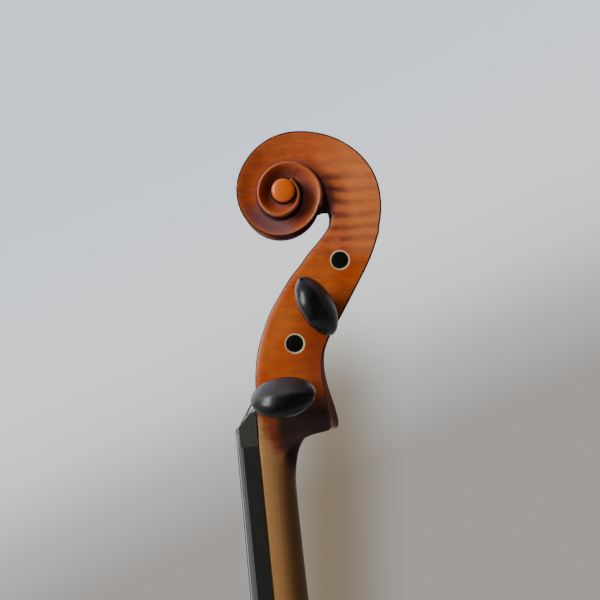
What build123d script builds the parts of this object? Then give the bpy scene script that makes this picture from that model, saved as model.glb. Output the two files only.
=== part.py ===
"""A full-size cello as an assembly of separate wooden, ebony, metal and string pieces.

Millimetres, +Z up along the instrument, the front (belly) towards -Y and the treble side towards +X.
The origin is the point of the endpin, with the endpin pushed in as far as it goes.
"""
from build123d import *
import math
import os

import numpy as np

# ---------------------------------------------------------------- driving dimensions
BODY_LENGTH = 755.0          # back length without the button
BODY_BOTTOM = 62.0           # height of the body's lower edge above the endpin's point
BODY_TOP = BODY_BOTTOM + BODY_LENGTH
RIB_HEIGHT = 118.0
RIB_THICKNESS = 1.6
OVERHANG = 3.5               # the plates stand this far outside the ribs
EDGE_THICKNESS = 4.5         # plate thickness at the edge
ARCH_RISE = 20.5             # rise of each plate's outside above its edge level
PLATE_CENTRE = 4.5           # plate thickness at the middle of the arch
STOP_LENGTH = 400.0          # body top edge to the bridge line
BRIDGE_Z = BODY_TOP - STOP_LENGTH
NECK_LENGTH = 280.0          # body top edge to the nut, along the neck
OVERSTAND = 20.0             # neck surface above the belly's edge at the body joint
NECK_ANGLE = 9.5             # degrees that the neck leans back from the body
BOARD_EDGE = 10.2            # fingerboard thickness at its long edges
BOARD_CREST = 14.0           # fingerboard thickness along its middle
BOARD_LENGTH = 585.0
BOARD_HALF_TOP = 15.5        # half widths at the nut and at the bridge end
BOARD_HALF_END = 31.5
RIB_HALF = RIB_HEIGHT / 2
TAN_NECK = math.tan(math.radians(NECK_ANGLE))

# the neck frame: u (local Z) runs up the neck's flat, v (local Y) towards the back, from the nut's foot
NUT_FOOT_Y = -(RIB_HALF + EDGE_THICKNESS + OVERSTAND) + NECK_LENGTH * math.sin(math.radians(NECK_ANGLE))
NUT_FOOT_Z = BODY_TOP + NECK_LENGTH * math.cos(math.radians(NECK_ANGLE))
NECK_FRAME = Location((0, NUT_FOOT_Y, NUT_FOOT_Z), (-NECK_ANGLE, 0, 0))

# strings from treble to bass: name, diameter, offset at the nut, offset at the bridge
STRINGS = (("a", 0.8, 10.5, 24.0), ("d", 1.0, 3.5, 8.2), ("g", 1.3, -3.5, -8.2), ("c", 1.7, -10.5, -24.0))
# pegs: side of the head, place (u, v) of the axis, turn of the head in degrees from the +v direction
PEGS = {
    "a": (1, 34.6, 20.2, 4.0),
    "c": (-1, 64.8, 30.3, 20.0),
    "d": (1, 88.0, 46.4, -66.0),
    "g": (-1, 116.0, 64.7, 50.0),
}
PEG_R_HEAD_WALL = 6.7        # shaft radius at the wall next to the head
PEG_R_FAR_WALL = 5.5         # and where the shaft's end shows in the other wall
PEG_CLEARANCE = 0.04
COLLAR_GAP = 3.0             # wall to collar

PIECES = {}


def smooth(points, at):
    """Value at `at` of a smooth curve through (position, value) points, by Catmull-Rom pieces."""
    xs = [p[0] for p in points]
    ys = [p[1] for p in points]
    at = min(max(at, xs[0]), xs[-1])
    i = max(0, min(len(xs) - 2, int(np.searchsorted(xs, at)) - 1))
    slope = []
    for k in (i, i + 1):
        lo, hi = max(k - 1, 0), min(k + 1, len(xs) - 1)
        slope.append((ys[hi] - ys[lo]) / (xs[hi] - xs[lo]))
    h = xs[i + 1] - xs[i]
    t = (at - xs[i]) / h
    return (
        (2 * t**3 - 3 * t**2 + 1) * ys[i]
        + (t**3 - 2 * t**2 + t) * h * slope[0]
        + (-2 * t**3 + 3 * t**2) * ys[i + 1]
        + (t**3 - t**2) * h * slope[1]
    )


def cylinder_between(start, end, radius, end_radius=None):
    """A round bar, or a cone when end_radius differs, from start to end."""
    start, end = Vector(*start), Vector(*end)
    along = end - start
    if end_radius is None:
        end_radius = radius
    plane = Plane(origin=start, z_dir=along)
    if abs(end_radius - radius) < 1e-9:
        bar = Cylinder(radius, along.length, align=(Align.CENTER, Align.CENTER, Align.MIN))
    else:
        bar = Cone(radius, end_radius, along.length, align=(Align.CENTER, Align.CENTER, Align.MIN))
    return plane * bar


def box_between(low, high):
    """A box from its lowest to its highest corner."""
    size = [high[i] - low[i] for i in range(3)]
    middle = [(high[i] + low[i]) / 2 for i in range(3)]
    return Pos(*middle) * Box(*size)


# ---------------------------------------------------------------- the body outline
# Half outline, (x, height above the lower edge); each run is a tangent arc, so only its ends are listed.
LOWER_BOUT = [(0, 0), (90, 7), (176, 50), (218, 140), (208, 215), (186, 262), (178, 300), (187, 322)]
C_BOUT = [(180.5, 329), (140, 345), (117, 385), (114, 425), (122, 462), (134, 487), (153, 500)]
UPPER_BOUT = [(158, 508), (150, 528), (155, 560), (167, 600), (171, 640), (155, 695), (115, 733),
              (60, 750), (0, 755)]
C_START = (-1.0, -0.035)
UPPER_START = (-0.643, 0.766)


def arc_run(points, heading):
    """Tangent arcs through the points, leaving the first along heading."""
    edges = []
    for start, end in zip(points, points[1:]):
        edges.append(TangentArc(start, end, tangent=heading))
        heading = edges[-1] % 1
    return edges


def outline_face():
    """The plate outline as a face in the XY plane, where local Y is the body's height."""
    half = arc_run(LOWER_BOUT, (1, 0))
    half.append(Line(LOWER_BOUT[-1], C_BOUT[0]))
    half += arc_run(C_BOUT, C_START)
    half.append(Line(C_BOUT[-1], UPPER_BOUT[0]))
    half += arc_run(UPPER_BOUT, UPPER_START)
    whole = half + [mirror(edge, about=Plane.YZ) for edge in half]
    return make_face(whole)


OUTLINE = outline_face()


def inset(distance):
    """The outline moved inwards by a distance."""
    return offset(OUTLINE, amount=-distance, kind=Kind.INTERSECTION)


def stand_up(face, y_front, y_back):
    """Extrudes a flat outline face between two depths; its local Y becomes the body's height."""
    prism = extrude(face, amount=y_back - y_front)
    return Pos(0, y_back, BODY_BOTTOM) * Rot(90, 0, 0) * prism


# ---------------------------------------------------------------- the arching
ARCH_HALF_WIDTH = [(6, 40), (30, 122), (60, 166), (140, 202), (215, 190), (262, 165), (320, 124), (385, 101),
                   (425, 99), (462, 105), (508, 124), (560, 139), (600, 151), (640, 155), (695, 137),
                   (733, 92), (752, 40)]
ARCH_LONG = [(8, 0.0), (30, 0.10), (70, 0.42), (130, 0.78), (220, 0.96), (380, 1.0), (500, 0.95),
             (600, 0.82), (670, 0.55), (720, 0.20), (747, 0.0)]
ARCH_FULLNESS = 1.45         # over 1 keeps the cross arch full and steepens its sides


def arch(x, height):
    """Rise of the arching above edge level, at a point of the outline plane."""
    side = min(1.0, abs(x) / smooth(ARCH_HALF_WIDTH, height))
    across = 0.5 * (1 + math.cos(math.pi * side**ARCH_FULLNESS))
    return ARCH_RISE * across * max(0.0, smooth(ARCH_LONG, height))


def arch_region(level, gain, lead):
    """All space behind an arched front surface: y above -(level + gain * arch - lead)."""
    rows = []
    for height in np.linspace(-20, BODY_LENGTH + 20, 54):
        row = []
        for x in np.linspace(-232, 232, 41):
            rise = gain * arch(float(x), float(height)) - lead
            row.append(Vector(float(x), -(level + rise), BODY_BOTTOM + float(height)))
        rows.append(row)
    surface = Face.make_surface_from_array_of_points(rows, tol=0.02)
    return extrude(surface, amount=160, dir=(0, 1, 0))


OUTSIDE = arch_region(RIB_HALF + EDGE_THICKNESS, 1.0, 0.0)
INNER_LEAD = 1.0             # the hollow starts this far inside the gluing surface
INNER_GAIN = (RIB_HALF + EDGE_THICKNESS + ARCH_RISE - PLATE_CENTRE - RIB_HALF + INNER_LEAD) / ARCH_RISE
INSIDE = arch_region(RIB_HALF, INNER_GAIN, INNER_LEAD)


# ---------------------------------------------------------------- f-holes
F_CENTRE_LINE = [(50, 57), (54.5, 68), (63, 71.5), (69.5, 62), (72.5, 40), (75.5, 0), (79, -40), (84, -63),
                 (92.5, -73), (101, -67), (104, -54)]
F_HALF_WIDTH = [1.8, 2.2, 2.8, 3.6, 4.3, 4.5, 4.5, 3.9, 3.0, 2.3, 1.9]
F_EYES = ((49.0, 50.0, 6.6), (103.0, -46.0, 8.6))


def f_hole_face(side):
    """One f-hole in the outline plane; side is 1 for treble and -1 for bass."""
    line = np.array(F_CENTRE_LINE, float)
    along = np.gradient(line, axis=0)
    along /= np.linalg.norm(along, axis=1)[:, None]
    normal = np.stack([-along[:, 1], along[:, 0]], axis=1)
    half = np.array(F_HALF_WIDTH)[:, None]
    left, right = line + normal * half, line - normal * half
    lift = BRIDGE_Z - BODY_BOTTOM
    left_pts = [(side * float(x), float(z) + lift) for x, z in left]
    right_pts = [(side * float(x), float(z) + lift) for x, z in right]
    body = make_face([
        Spline(*left_pts),
        Line(left_pts[-1], right_pts[-1]),
        Spline(*right_pts[::-1]),
        Line(right_pts[0], left_pts[0]),
    ])
    for x, z, radius in F_EYES:
        body += Pos(side * x, z + lift) * Circle(radius)
    return body


# ---------------------------------------------------------------- plates, ribs and what they hold
PURFLING_INSET, PURFLING_WIDTH, PURFLING_DEPTH = 5.0, 1.8, 2.0
BUTTON_RADIUS, BUTTON_RISE = 17.5, 14.0
SADDLE_HALF, SADDLE_DEEP = 19.0, 11.0


def purfling_ring():
    """The purfling strip as a flat ring in the outline plane."""
    return inset(PURFLING_INSET) - inset(PURFLING_INSET + PURFLING_WIDTH)


def plates():
    """Belly and back, each carved from an arched block, with the purfling let into them."""
    front, deep = -(RIB_HALF + EDGE_THICKNESS + ARCH_RISE + 5), -RIB_HALF
    blank = stand_up(OUTLINE, front, deep) & OUTSIDE
    shell = blank - INSIDE
    groove = stand_up(purfling_ring(), front, -(RIB_HALF + EDGE_THICKNESS - PURFLING_DEPTH))
    strip = shell & groove
    shell = shell - groove
    belly = shell
    for side in (1, -1):
        belly = belly - stand_up(f_hole_face(side), front, deep)
    saddle_gap = box_between(
        (-SADDLE_HALF, front, BODY_BOTTOM - 5), (SADDLE_HALF, deep + 0.01, BODY_BOTTOM + SADDLE_DEEP))
    neck_gap = box_between(
        (-NECK_ROOT_HALF, front, BODY_TOP - MORTISE), (NECK_ROOT_HALF, deep + 1, BODY_TOP + 5))
    PIECES["belly"] = belly - saddle_gap - neck_gap
    PIECES["belly_purfling"] = strip - saddle_gap - neck_gap
    back = mirror(shell, about=Plane.XZ)
    button = Pos(0, RIB_HALF + EDGE_THICKNESS, BODY_TOP + BUTTON_RISE - 6) * Rot(90, 0, 0) * extrude(
        Circle(BUTTON_RADIUS) + Pos(0, -12) * Rectangle(2 * BUTTON_RADIUS, 24), amount=EDGE_THICKNESS)
    keep_clear = mirror(groove, about=Plane.XZ)
    PIECES["back"] = back + (button - keep_clear)
    PIECES["back_purfling"] = mirror(strip, about=Plane.XZ)


NECK_ROOT_HALF = 25.0        # half width of the heel in its mortise
MORTISE = 8.0                # depth of the mortise below the body's top edge


def ribs_and_blocks():
    """Six ribs round the body, the blocks that they are glued to, and the lining strips."""
    outside, inside = inset(OVERHANG), inset(OVERHANG + RIB_THICKNESS)
    band = stand_up(outside - inside, -RIB_HALF, RIB_HALF)
    heel_gap = box_between(
        (-NECK_ROOT_HALF, -RIB_HALF - 1, BODY_TOP - MORTISE - 6), (NECK_ROOT_HALF, RIB_HALF + 1, BODY_TOP + 5))
    pin_hole = cylinder_between((0, 0, BODY_BOTTOM - 5), (0, 0, BODY_BOTTOM + 60), PLUG_RADIUS)
    low = BODY_BOTTOM + (LOWER_BOUT[-1][1] + C_BOUT[0][1]) / 2
    high = BODY_BOTTOM + (C_BOUT[-1][1] + UPPER_BOUT[0][1]) / 2
    spans = {"lower": (BODY_BOTTOM - 5, low), "middle": (low, high), "upper": (high, BODY_TOP + 5)}
    for name, (z0, z1) in spans.items():
        for side, x0, x1 in (("treble", 0, 240), ("bass", -240, 0)):
            piece = band & box_between((x0, -RIB_HALF - 1, z0), (x1, RIB_HALF + 1, z1))
            if name == "upper":
                piece = piece - heel_gap
            if name == "lower":
                piece = piece - pin_hole
            PIECES[f"{name}_rib_{side}"] = piece
    chamber = stand_up(inside, -RIB_HALF, RIB_HALF)
    top_block = box_between(
        (-44, -RIB_HALF, BODY_TOP - 42), (44, RIB_HALF, BODY_TOP)) & chamber
    PIECES["upper_block"] = top_block - heel_gap
    PIECES["lower_block"] = box_between(
        (-42, -RIB_HALF, BODY_BOTTOM), (42, RIB_HALF, BODY_BOTTOM + 32)) & chamber
    PIECES["lower_block"] -= cylinder_between((0, 0, BODY_BOTTOM - 5), (0, 0, BODY_BOTTOM + 60), PLUG_RADIUS)
    corners = []
    for side in (1, -1):
        for x, height in (LOWER_BOUT[-1], UPPER_BOUT[0]):
            post = Pos(side * (x - 10), 0, BODY_BOTTOM + height) * Rot(90, 0, 0) * Cylinder(26, RIB_HEIGHT)
            corners.append(post & chamber)
    PIECES["corner_blocks"] = Compound([s for c in corners for s in c.solids()])
    lining_ring = inside - inset(OVERHANG + RIB_THICKNESS + LINING_THICKNESS)
    solid_blocks = [PIECES["upper_block"], PIECES["lower_block"], PIECES["corner_blocks"], heel_gap, pin_hole]
    for name, y0, y1 in (("belly_linings", -RIB_HALF, -RIB_HALF + LINING_HEIGHT),
                         ("back_linings", RIB_HALF - LINING_HEIGHT, RIB_HALF)):
        strips = stand_up(lining_ring, y0, y1)
        for block in solid_blocks:
            strips = strips - block
        PIECES[name] = Compound(strips.solids())


LINING_THICKNESS, LINING_HEIGHT = 2.4, 12.0


def inner_works():
    """Bass bar under the belly, and the sound post between belly and back."""
    bar_x = STRINGS[3][3] - 4
    bar = box_between(
        (bar_x - 5.5, -RIB_HALF - ARCH_RISE, BRIDGE_Z - 295), (bar_x + 5.5, -RIB_HALF + 5, BRIDGE_Z + 290))
    scoop = Pos(bar_x, -RIB_HALF + 1100 - 24, BRIDGE_Z) * Rot(0, 90, 0) * Cylinder(1100 - 18, 20)
    PIECES["bass_bar"] = (bar & INSIDE) - scoop
    post = cylinder_between((30, -90, BRIDGE_Z - 18), (30, 90, BRIDGE_Z - 18), 5.5)
    PIECES["sound_post"] = post & INSIDE & mirror(INSIDE, about=Plane.XZ)


# ---------------------------------------------------------------- neck and head
# Side view of the head in the neck frame, as (v, u).
BACK_EDGE = [(48.4, 8.5), (47.8, 23.9), (46.8, 33.6), (46.1, 43.2), (46.5, 49.5), (48.2, 57.7), (51.9, 65.2),
             (61.8, 79.7), (74.9, 99.4), (85.1, 116.1), (92.9, 136.5)]
FRONT_EDGE = [(0.0, 0.0), (1.0, 12.0), (1.9, 24.5), (2.4, 43.9), (7.1, 66.1), (16.2, 86.7), (31.2, 107.5),
              (45.9, 123.8), (58.4, 137.1), (61.5, 142.8)]
EYE = (32.3, 163.3)          # centre of the volute (v, u)
THROAT = (60.6, 148.7)       # where the volute springs from the pegbox's front
VOLUTE_START_HALF = 15.6
# Volute: turn angle in degrees (0 towards the back, counting over the top), radius from the eye, half width
VOLUTE = [(-24, 66.3, 16.2), (0, 62.5, 15.4), (30, 53.3, 15.2), (60, 44.2, 16.0), (90, 38.5, 16.9),
          (125, 33.4, 18.0), (165, 31.0, 19.3), (210, 30.3, 20.8), (255, 29.1, 21.8), (290, 27.4, 22.8),
          (325, 25.5, 23.5), (350, 25.0, 24.0), (380, 23.5, 24.7), (410, 21.1, 25.3), (440, 19.5, 26.1),
          (480, 17.4, 27.0), (530, 16.9, 28.0), (575, 17.4, 28.9), (610, 16.9, 29.7), (640, 14.9, 30.5),
          (670, 12.9, 31.2), (700, 10.6, 31.9), (730, 8.8, 32.4), (770, 8.2, 33.0)]


def volute_point(angle):
    """(v, u) of the volute's edge at a turn angle."""
    radius = smooth([(a, r) for a, r, _ in VOLUTE], angle)
    turn = math.radians(angle)
    return (EYE[0] + radius * math.cos(turn), EYE[1] + radius * math.sin(turn))


def volute_half_width(angle):
    """Half width of the scroll at a turn angle."""
    return smooth([(a, w) for a, _, w in VOLUTE], angle)


def spiral_disc(start, half):
    """One turn of the volute from a turn angle, closed by a straight step, extruded both ways along x."""
    edges = []
    for low in range(start, start + 360, 30):
        edges.append(ThreePointArc(volute_point(low), volute_point(low + 15), volute_point(low + 30)))
    edges.append(Line(volute_point(start + 360), volute_point(start)))
    return across(make_face(edges), half)


def across(face, half):
    """A (v, u) drawing extruded to both sides of the neck frame's middle plane."""
    return Rot(0, 90, 0) * Rot(0, 0, 90) * extrude(face, amount=half, both=True)


def pegbox_sections():
    """Quadrilateral sections up the pegbox: front point, back point, half width in front and behind."""
    return [
        ((0.3, 1.0), (40.0, 4.6), 16.0, 17.0),
        ((0.9, 8.0), (53.0, 6.0), 19.0, 29.0),
        ((1.6, 22.0), (52.5, 17.0), 22.5, 29.5),
        ((2.1, 36.0), (48.6, 36.0), 24.0, 26.5),
        ((4.0, 53.0), (46.5, 48.0), 23.4, 24.8),
        ((7.5, 67.0), (50.0, 61.0), 22.6, 23.8),
        ((16.2, 86.7), (61.8, 79.7), 21.3, 22.0),
        ((31.2, 107.5), (74.9, 99.4), 19.6, 20.0),
        ((45.9, 123.8), (85.1, 116.1), 18.0, 18.0),
        ((58.4, 137.1), (92.0, 134.0), 16.6, 16.4),
    ]


def head():
    """Scroll and pegbox in the neck frame, still solid."""
    faces = []
    for (v0, u0), (v1, u1), front_half, back_half in pegbox_sections():
        corners = [(-front_half, v0, u0), (front_half, v0, u0), (back_half, v1, u1), (-back_half, v1, u1)]
        faces.append(make_face(Polyline(*corners, close=True)))
    block = loft(faces, ruled=True)
    edges = [ThreePointArc(volute_point(-24), volute_point(-12), volute_point(0))]
    for low in range(0, 300, 30):
        edges.append(ThreePointArc(volute_point(low), volute_point(low + 15), volute_point(low + 30)))
    edges.append(Polyline(volute_point(300), THROAT, (61.5, 142.8), (58.4, 137.1), (92.0, 134.0),
                          volute_point(-24)))
    block += across(make_face(edges), VOLUTE_START_HALF)
    for start in range(60, 361, 60):
        block += spiral_disc(start, volute_half_width(start + 100))
    return block + Pos(0, EYE[0], EYE[1]) * Rot(0, 90, 0) * Cylinder(8.0, 66)


def pegbox_cavity():
    """The slot between the pegbox walls, open to the front."""
    faces = []
    for (v0, u0), (v1, u1), half in (
        ((-3.0, 25.0), (34.0, 17.0), 13.0),
        ((-2.0, 44.0), (37.5, 42.0), 13.6),
        ((1.0, 66.0), (42.0, 60.0), 13.3),
        ((10.0, 89.0), (54.0, 78.5), 11.5),
        ((25.0, 111.0), (67.0, 97.0), 10.0),
        ((38.0, 124.0), (74.0, 113.5), 9.2),
        ((50.0, 135.5), (79.5, 125.0), 8.2),
    ):
        corners = [(-half, v0, u0), (half, v0, u0), (half * 0.9, v1, u1), (-half * 0.9, v1, u1)]
        faces.append(make_face(Polyline(*corners, close=True)))
    return loft(faces, ruled=True)


def wall_half(u):
    """Half width of the pegbox at a peg's height."""
    table = [(6, 29.0), (17, 29.0), (36, 25.0), (53, 24.1), (67, 23.2), (87, 21.7), (107, 19.8), (124, 18.0)]
    return smooth(table, u)


def peg_radius(name, x_from_head):
    """Shaft radius at a distance in from the outside of the wall next to the head."""
    span = 2 * wall_half(PEGS[name][1])
    return PEG_R_HEAD_WALL + (PEG_R_FAR_WALL - PEG_R_HEAD_WALL) * x_from_head / span


def neck_section(z, depth, half, fullness):
    """A D section of the neck at height z: flat in front, rounded behind."""
    front = -(RIB_HALF + EDGE_THICKNESS + OVERSTAND) + (z - BODY_TOP) * TAN_NECK
    points = []
    for k in range(9):
        angle = math.pi * k / 8
        x = half * math.cos(angle)
        points.append((x, front + depth * math.sin(angle) ** fullness, z))
    edge = Spline(*points, tangents=[(-0.15, 1, 0), (-0.15, -1, 0)])
    return make_face([edge, Line(points[-1], points[0])])


def neck_and_scroll():
    """The neck with its heel, pegbox and scroll, carved from one billet."""
    top = NUT_FOOT_Z - 8
    sections = [
        (BODY_TOP - MORTISE, 165.0, 24.9, 0.75), (BODY_TOP + 4, 165.0, 24.6, 0.75),
        (BODY_TOP + 14, 162.0, 24.2, 0.75), (BODY_TOP + 22, 152.0, 23.7, 0.75),
        (BODY_TOP + 27, 118.0, 23.3, 0.75), (BODY_TOP + 34, 90.0, 22.8, 0.75),
        (BODY_TOP + 44, 66.0, 22.3, 0.75), (BODY_TOP + 57, 45.0, 21.8, 0.75),
        (BODY_TOP + 74, 33.0, 21.2, 0.75), (BODY_TOP + 100, 26.4, 20.6, 0.75), (BODY_TOP + 160, 24.0, 18.6, 0.75),
        (BODY_TOP + 235, 23.0, 16.4, 0.75), (top - 10, 23.2, 15.8, 0.75), (top, 25.5, 15.7, 0.75),
    ]
    neck = loft([neck_section(*s) for s in sections], ruled=True)
    neck = neck - box_between((-40, RIB_HALF, BODY_TOP - 20), (40, RIB_HALF + 60, BODY_TOP + 40))
    chin = []
    for u, depth, half in ((-14, 24.5, 15.7), (-8, 26.5, 15.7), (-3, 30.0, 15.8), (1, 34.0, 16.2),
                           (4, 40.0, 18.0), (7, 52.0, 24.0)):
        points = []
        for k in range(9):
            angle = math.pi * k / 8
            points.append((half * math.cos(angle), depth * math.sin(angle) ** 0.75, u))
        edge = Spline(*points, tangents=[(-0.15, 1, 0), (-0.15, -1, 0)])
        chin.append(make_face([edge, Line(points[-1], points[0])]))
    block = head() + loft(chin, ruled=True)
    block = block - pegbox_cavity()
    for name, (side, u, v, _) in PEGS.items():
        half = wall_half(u)
        near, far = side * (half + 15), -side * (half + 15)
        slope = (PEG_R_FAR_WALL - PEG_R_HEAD_WALL) / (2 * half)
        r_near = PEG_R_HEAD_WALL - slope * 15 + PEG_CLEARANCE
        r_far = PEG_R_FAR_WALL + slope * 15 + PEG_CLEARANCE
        block = block - cylinder_between((near, v, u), (far, v, u), r_near, r_far)
    PIECES["neck_and_scroll"] = neck + NECK_FRAME * block


# ---------------------------------------------------------------- pegs, strings and ebony fittings
PEG_COLLAR_RADIUS, PEG_COLLAR_LENGTH = 9.2, 5.5
PEG_HEAD_HALF, PEG_HEAD_THICK, PEG_HEAD_TALL = 20.0, 9.6, 33.0


def peg(name):
    """One friction peg: tapered shaft, turned collar and a flat oval head."""
    side, u, v, turn = PEGS[name]
    half = wall_half(u)
    length = 2 * half + 0.6
    outer = COLLAR_GAP
    r_out = peg_radius(name, -outer)
    r_end = peg_radius(name, length)
    body = Cone(r_end, r_out, length + outer, align=(Align.CENTER, Align.CENTER, Align.MIN))
    body = Pos(0, 0, -length) * body
    body += Pos(0, 0, outer) * Cylinder(
        PEG_COLLAR_RADIUS, PEG_COLLAR_LENGTH, align=(Align.CENTER, Align.CENTER, Align.MIN))
    body += Pos(0, 0, outer + PEG_COLLAR_LENGTH) * Cone(
        6.2, 4.6, 6, align=(Align.CENTER, Align.CENTER, Align.MIN))
    rows = ((0, 4.5, 4.6), (5, 12.5, 7.4), (11, 18.0, 9.2), (18, 20.0, 9.6), (25, 18.8, 8.4), (31, 13.5, 6.2),
            (33, 7.0, 3.6))
    base = outer + PEG_COLLAR_LENGTH + 4
    ovals = [Pos(0, 0, base + z) * Ellipse(a, b) for z, a, b in rows]
    body += loft([face.faces()[0] for face in ovals], ruled=True)
    spin = Rot(0, 0, turn) if side > 0 else Rot(0, 0, 180 - turn)
    # local X, the head's long way, starts along v; local Z leaves the pegbox on the head's side
    stand = Location((side * half, v, u)) * Rot(0, side * 90, 0)
    return NECK_FRAME * stand * Rot(0, 0, 90) * spin * body


WINDINGS = {"a": (9.0, 5.0), "d": (5.0, 5.0), "g": (-4.2, 5.6), "c": (-8.0, 6.0)}   # middle in x, width
NUT_STRING_V = -15.2         # height over the neck's flat of a string in the middle of the nut
BRIDGE_CREST_Y = -171.5      # middle of the bridge's top edge
BRIDGE_TOP_RADIUS = 60.0


def winding_radii(name, diameter):
    """Inner and outer radius of a string's turns on its peg."""
    side, u, _, _ = PEGS[name]
    middle, width = WINDINGS[name]
    place_in = wall_half(u) - side * middle
    return peg_radius(name, place_in - width / 2) + 0.02, peg_radius(name, place_in) + 1.35 * diameter


def bridge_string_point(offset_x):
    """Where a string crosses the bridge."""
    drop = BRIDGE_TOP_RADIUS - math.sqrt(BRIDGE_TOP_RADIUS**2 - offset_x**2)
    return (offset_x, BRIDGE_CREST_Y + drop, BRIDGE_Z)


def nut_string_v(offset_x):
    """Height of a string over the neck's flat at the nut; the nut is arched."""
    return NUT_STRING_V + 0.0165 * offset_x**2


def to_body(x, v, u):
    """A neck-frame point in the body's frame."""
    a = math.radians(NECK_ANGLE)
    return (x, NUT_FOOT_Y + v * math.cos(a) + u * math.sin(a), NUT_FOOT_Z - v * math.sin(a) + u * math.cos(a))


TAIL_TOP_Z, TAIL_BOTTOM_Z = 283.0, 88.0
TUNER_Z = TAIL_TOP_Z - 6.0


def tail_surface_y(z):
    """Front of the tailpiece's middle at a height."""
    return smooth([(TAIL_BOTTOM_Z, -88.0), (TAIL_TOP_Z, -125.0)], z)


def string_path(name, diameter, nut_x, bridge_x):
    """Corner points of a string from its fine tuner, over bridge and nut, to its turns on the peg."""
    _, u, v, _ = PEGS[name]
    start = (TUNER_X[name], tail_surface_y(TUNER_Z) - 9.5, PIVOT_Z + 1.9)
    nut_v = nut_string_v(nut_x)
    away = winding_radii(name, diameter)[1] + diameter / 2 + 0.06
    du, dv = u - 8.5, v - nut_v
    reach = math.hypot(du, dv)
    aim = math.atan2(dv, du) - math.asin(away / reach)
    run = math.sqrt(reach**2 - away**2)
    touch = to_body(WINDINGS[name][0], nut_v + run * math.sin(aim), 8.5 + run * math.cos(aim))
    return [start, bridge_string_point(bridge_x), to_body(nut_x, nut_v, 1.0), to_body(nut_x, nut_v, 8.5), touch]


def string(name, diameter, nut_x, bridge_x):
    """A taut string with rounded corners."""
    points = string_path(name, diameter, nut_x, bridge_x)
    body = cylinder_between(points[0], points[1], diameter / 2)
    for start, end in zip(points[1:], points[2:]):
        body += Pos(*start) * Sphere(diameter / 2 + 0.02)
        body += cylinder_between(start, end, diameter / 2)
    return body


def winding(name, diameter):
    """The turns of a string round its peg, as one sleeve that hugs the shaft."""
    _, u, v, _ = PEGS[name]
    middle, width = WINDINGS[name]
    inner, outer = winding_radii(name, diameter)
    ring = Cylinder(outer, width) - Cylinder(inner, width + 2)
    return NECK_FRAME * (Location((middle, v, u)) * Rot(0, 90, 0) * ring)


def nut():
    """Ebony nut: an arched top that the strings cross, and a long slope towards the pegbox."""
    profile = [(0.0, 0.0), (-16, 0.0), (-16, 9.0), (-3.6, 21.5), (0.2, 23.0)]
    face = make_face(Polyline(*profile, close=True))
    crest, edge, half = -NUT_STRING_V, 11.6, 15.7
    arc_radius = (half**2 + (crest - edge) ** 2) / (2 * (crest - edge))
    barrel = Pos(0, arc_radius - crest, 11.5) * Cylinder(arc_radius, 23)
    block = NECK_FRAME * (across(face, half) & barrel) - PIECES["neck_and_scroll"]
    for name, diameter, nut_x, bridge_x in STRINGS:
        path = string_path(name, diameter, nut_x, bridge_x)
        high, touch = Vector(*path[3]), Vector(*path[4])
        foot = high + (touch - high) * 0.75
        lift = to_body(0, -12, 0)[1] - NUT_FOOT_Y
        slot = make_face(Polyline((high.Y, high.Z), (foot.Y, foot.Z), (foot.Y + lift, foot.Z), (high.Y + lift, high.Z),
                                  close=True))
        block = block - Pos((nut_x + foot.X) / 2, 0, 0) * across(slot, diameter / 2 + 0.6)
        block = block - PIECES[f"string_{name}"]
    return block


def fingerboard():
    """Ebony fingerboard: arched on top, flat where it is glued, hollowed under its free end."""
    faces = []
    for u, half in ((-0.05, BOARD_HALF_TOP), (-BOARD_LENGTH, BOARD_HALF_END)):
        rise = BOARD_CREST - BOARD_EDGE if u > -1 else 9.0
        crest = -(BOARD_EDGE + rise) if u > -1 else -16.0
        edge = crest + rise
        faces.append(make_face([
            ThreePointArc((-half, edge, u), (0, crest, u), (half, edge, u)),
            Line((half, edge, u), (half, 0, u)),
            Line((half, 0, u), (-half, 0, u)),
            Line((-half, 0, u), (-half, edge, u)),
        ]))
    board = loft(faces, ruled=True)
    scoop = cylinder_between((0, 22, -NECK_LENGTH - 12), (0, 18, -BOARD_LENGTH - 10), 30)
    return NECK_FRAME * (board - scoop)


def bridge():
    """Maple bridge with two legs, a heart and two kidney cuts, thin at the top and thick at the feet."""
    crest = -BRIDGE_CREST_Y - 0.2
    base = RIB_HALF + EDGE_THICKNESS + ARCH_RISE - 6
    half = [(46, base), (46, base + 12), (38, base + 15), (33, base + 26), (31, base + 38), (39, base + 47),
            (37, base + 58), (29.5, crest - 8.2)]
    outline = half + [(0, crest)] + [(-x, y) for x, y in reversed(half)] + [(-22, base), (-18, base + 22),
              (0, base + 30), (18, base + 22), (22, base)]
    lower = Polyline(*[(x, y) for x, y in outline], close=True)
    face = make_face(lower)
    face += Pos(0, crest - BRIDGE_TOP_RADIUS) * Circle(BRIDGE_TOP_RADIUS) & (
        Pos(0, crest - 14) * Rectangle(59, 28))
    face -= Pos(0, base + 50) * Ellipse(7, 8.5)
    for side in (1, -1):
        face -= Pos(side * 29, base + 44) * Ellipse(8, 6.5)
    wedge = extrude(face, amount=6, both=True)
    shape = Pos(0, 0, BRIDGE_Z) * Rot(0, 0, 180) * wedge
    taper = make_face(Polyline((-(base - 4), 5.6), (-(crest + 4), 1.4), (-(crest + 4), -1.4), (-(base - 4), -5.6),
                               close=True))
    taper_solid = Pos(0, 0, BRIDGE_Z) * across(taper, 60)
    shape = shape & taper_solid
    shape = shape - OUTSIDE
    for name, _, _, _ in STRINGS:
        shape = shape - PIECES[f"string_{name}"]
    return shape


TUNER_X = {"a": 16.5, "d": 5.5, "g": -5.5, "c": -16.5}


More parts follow.
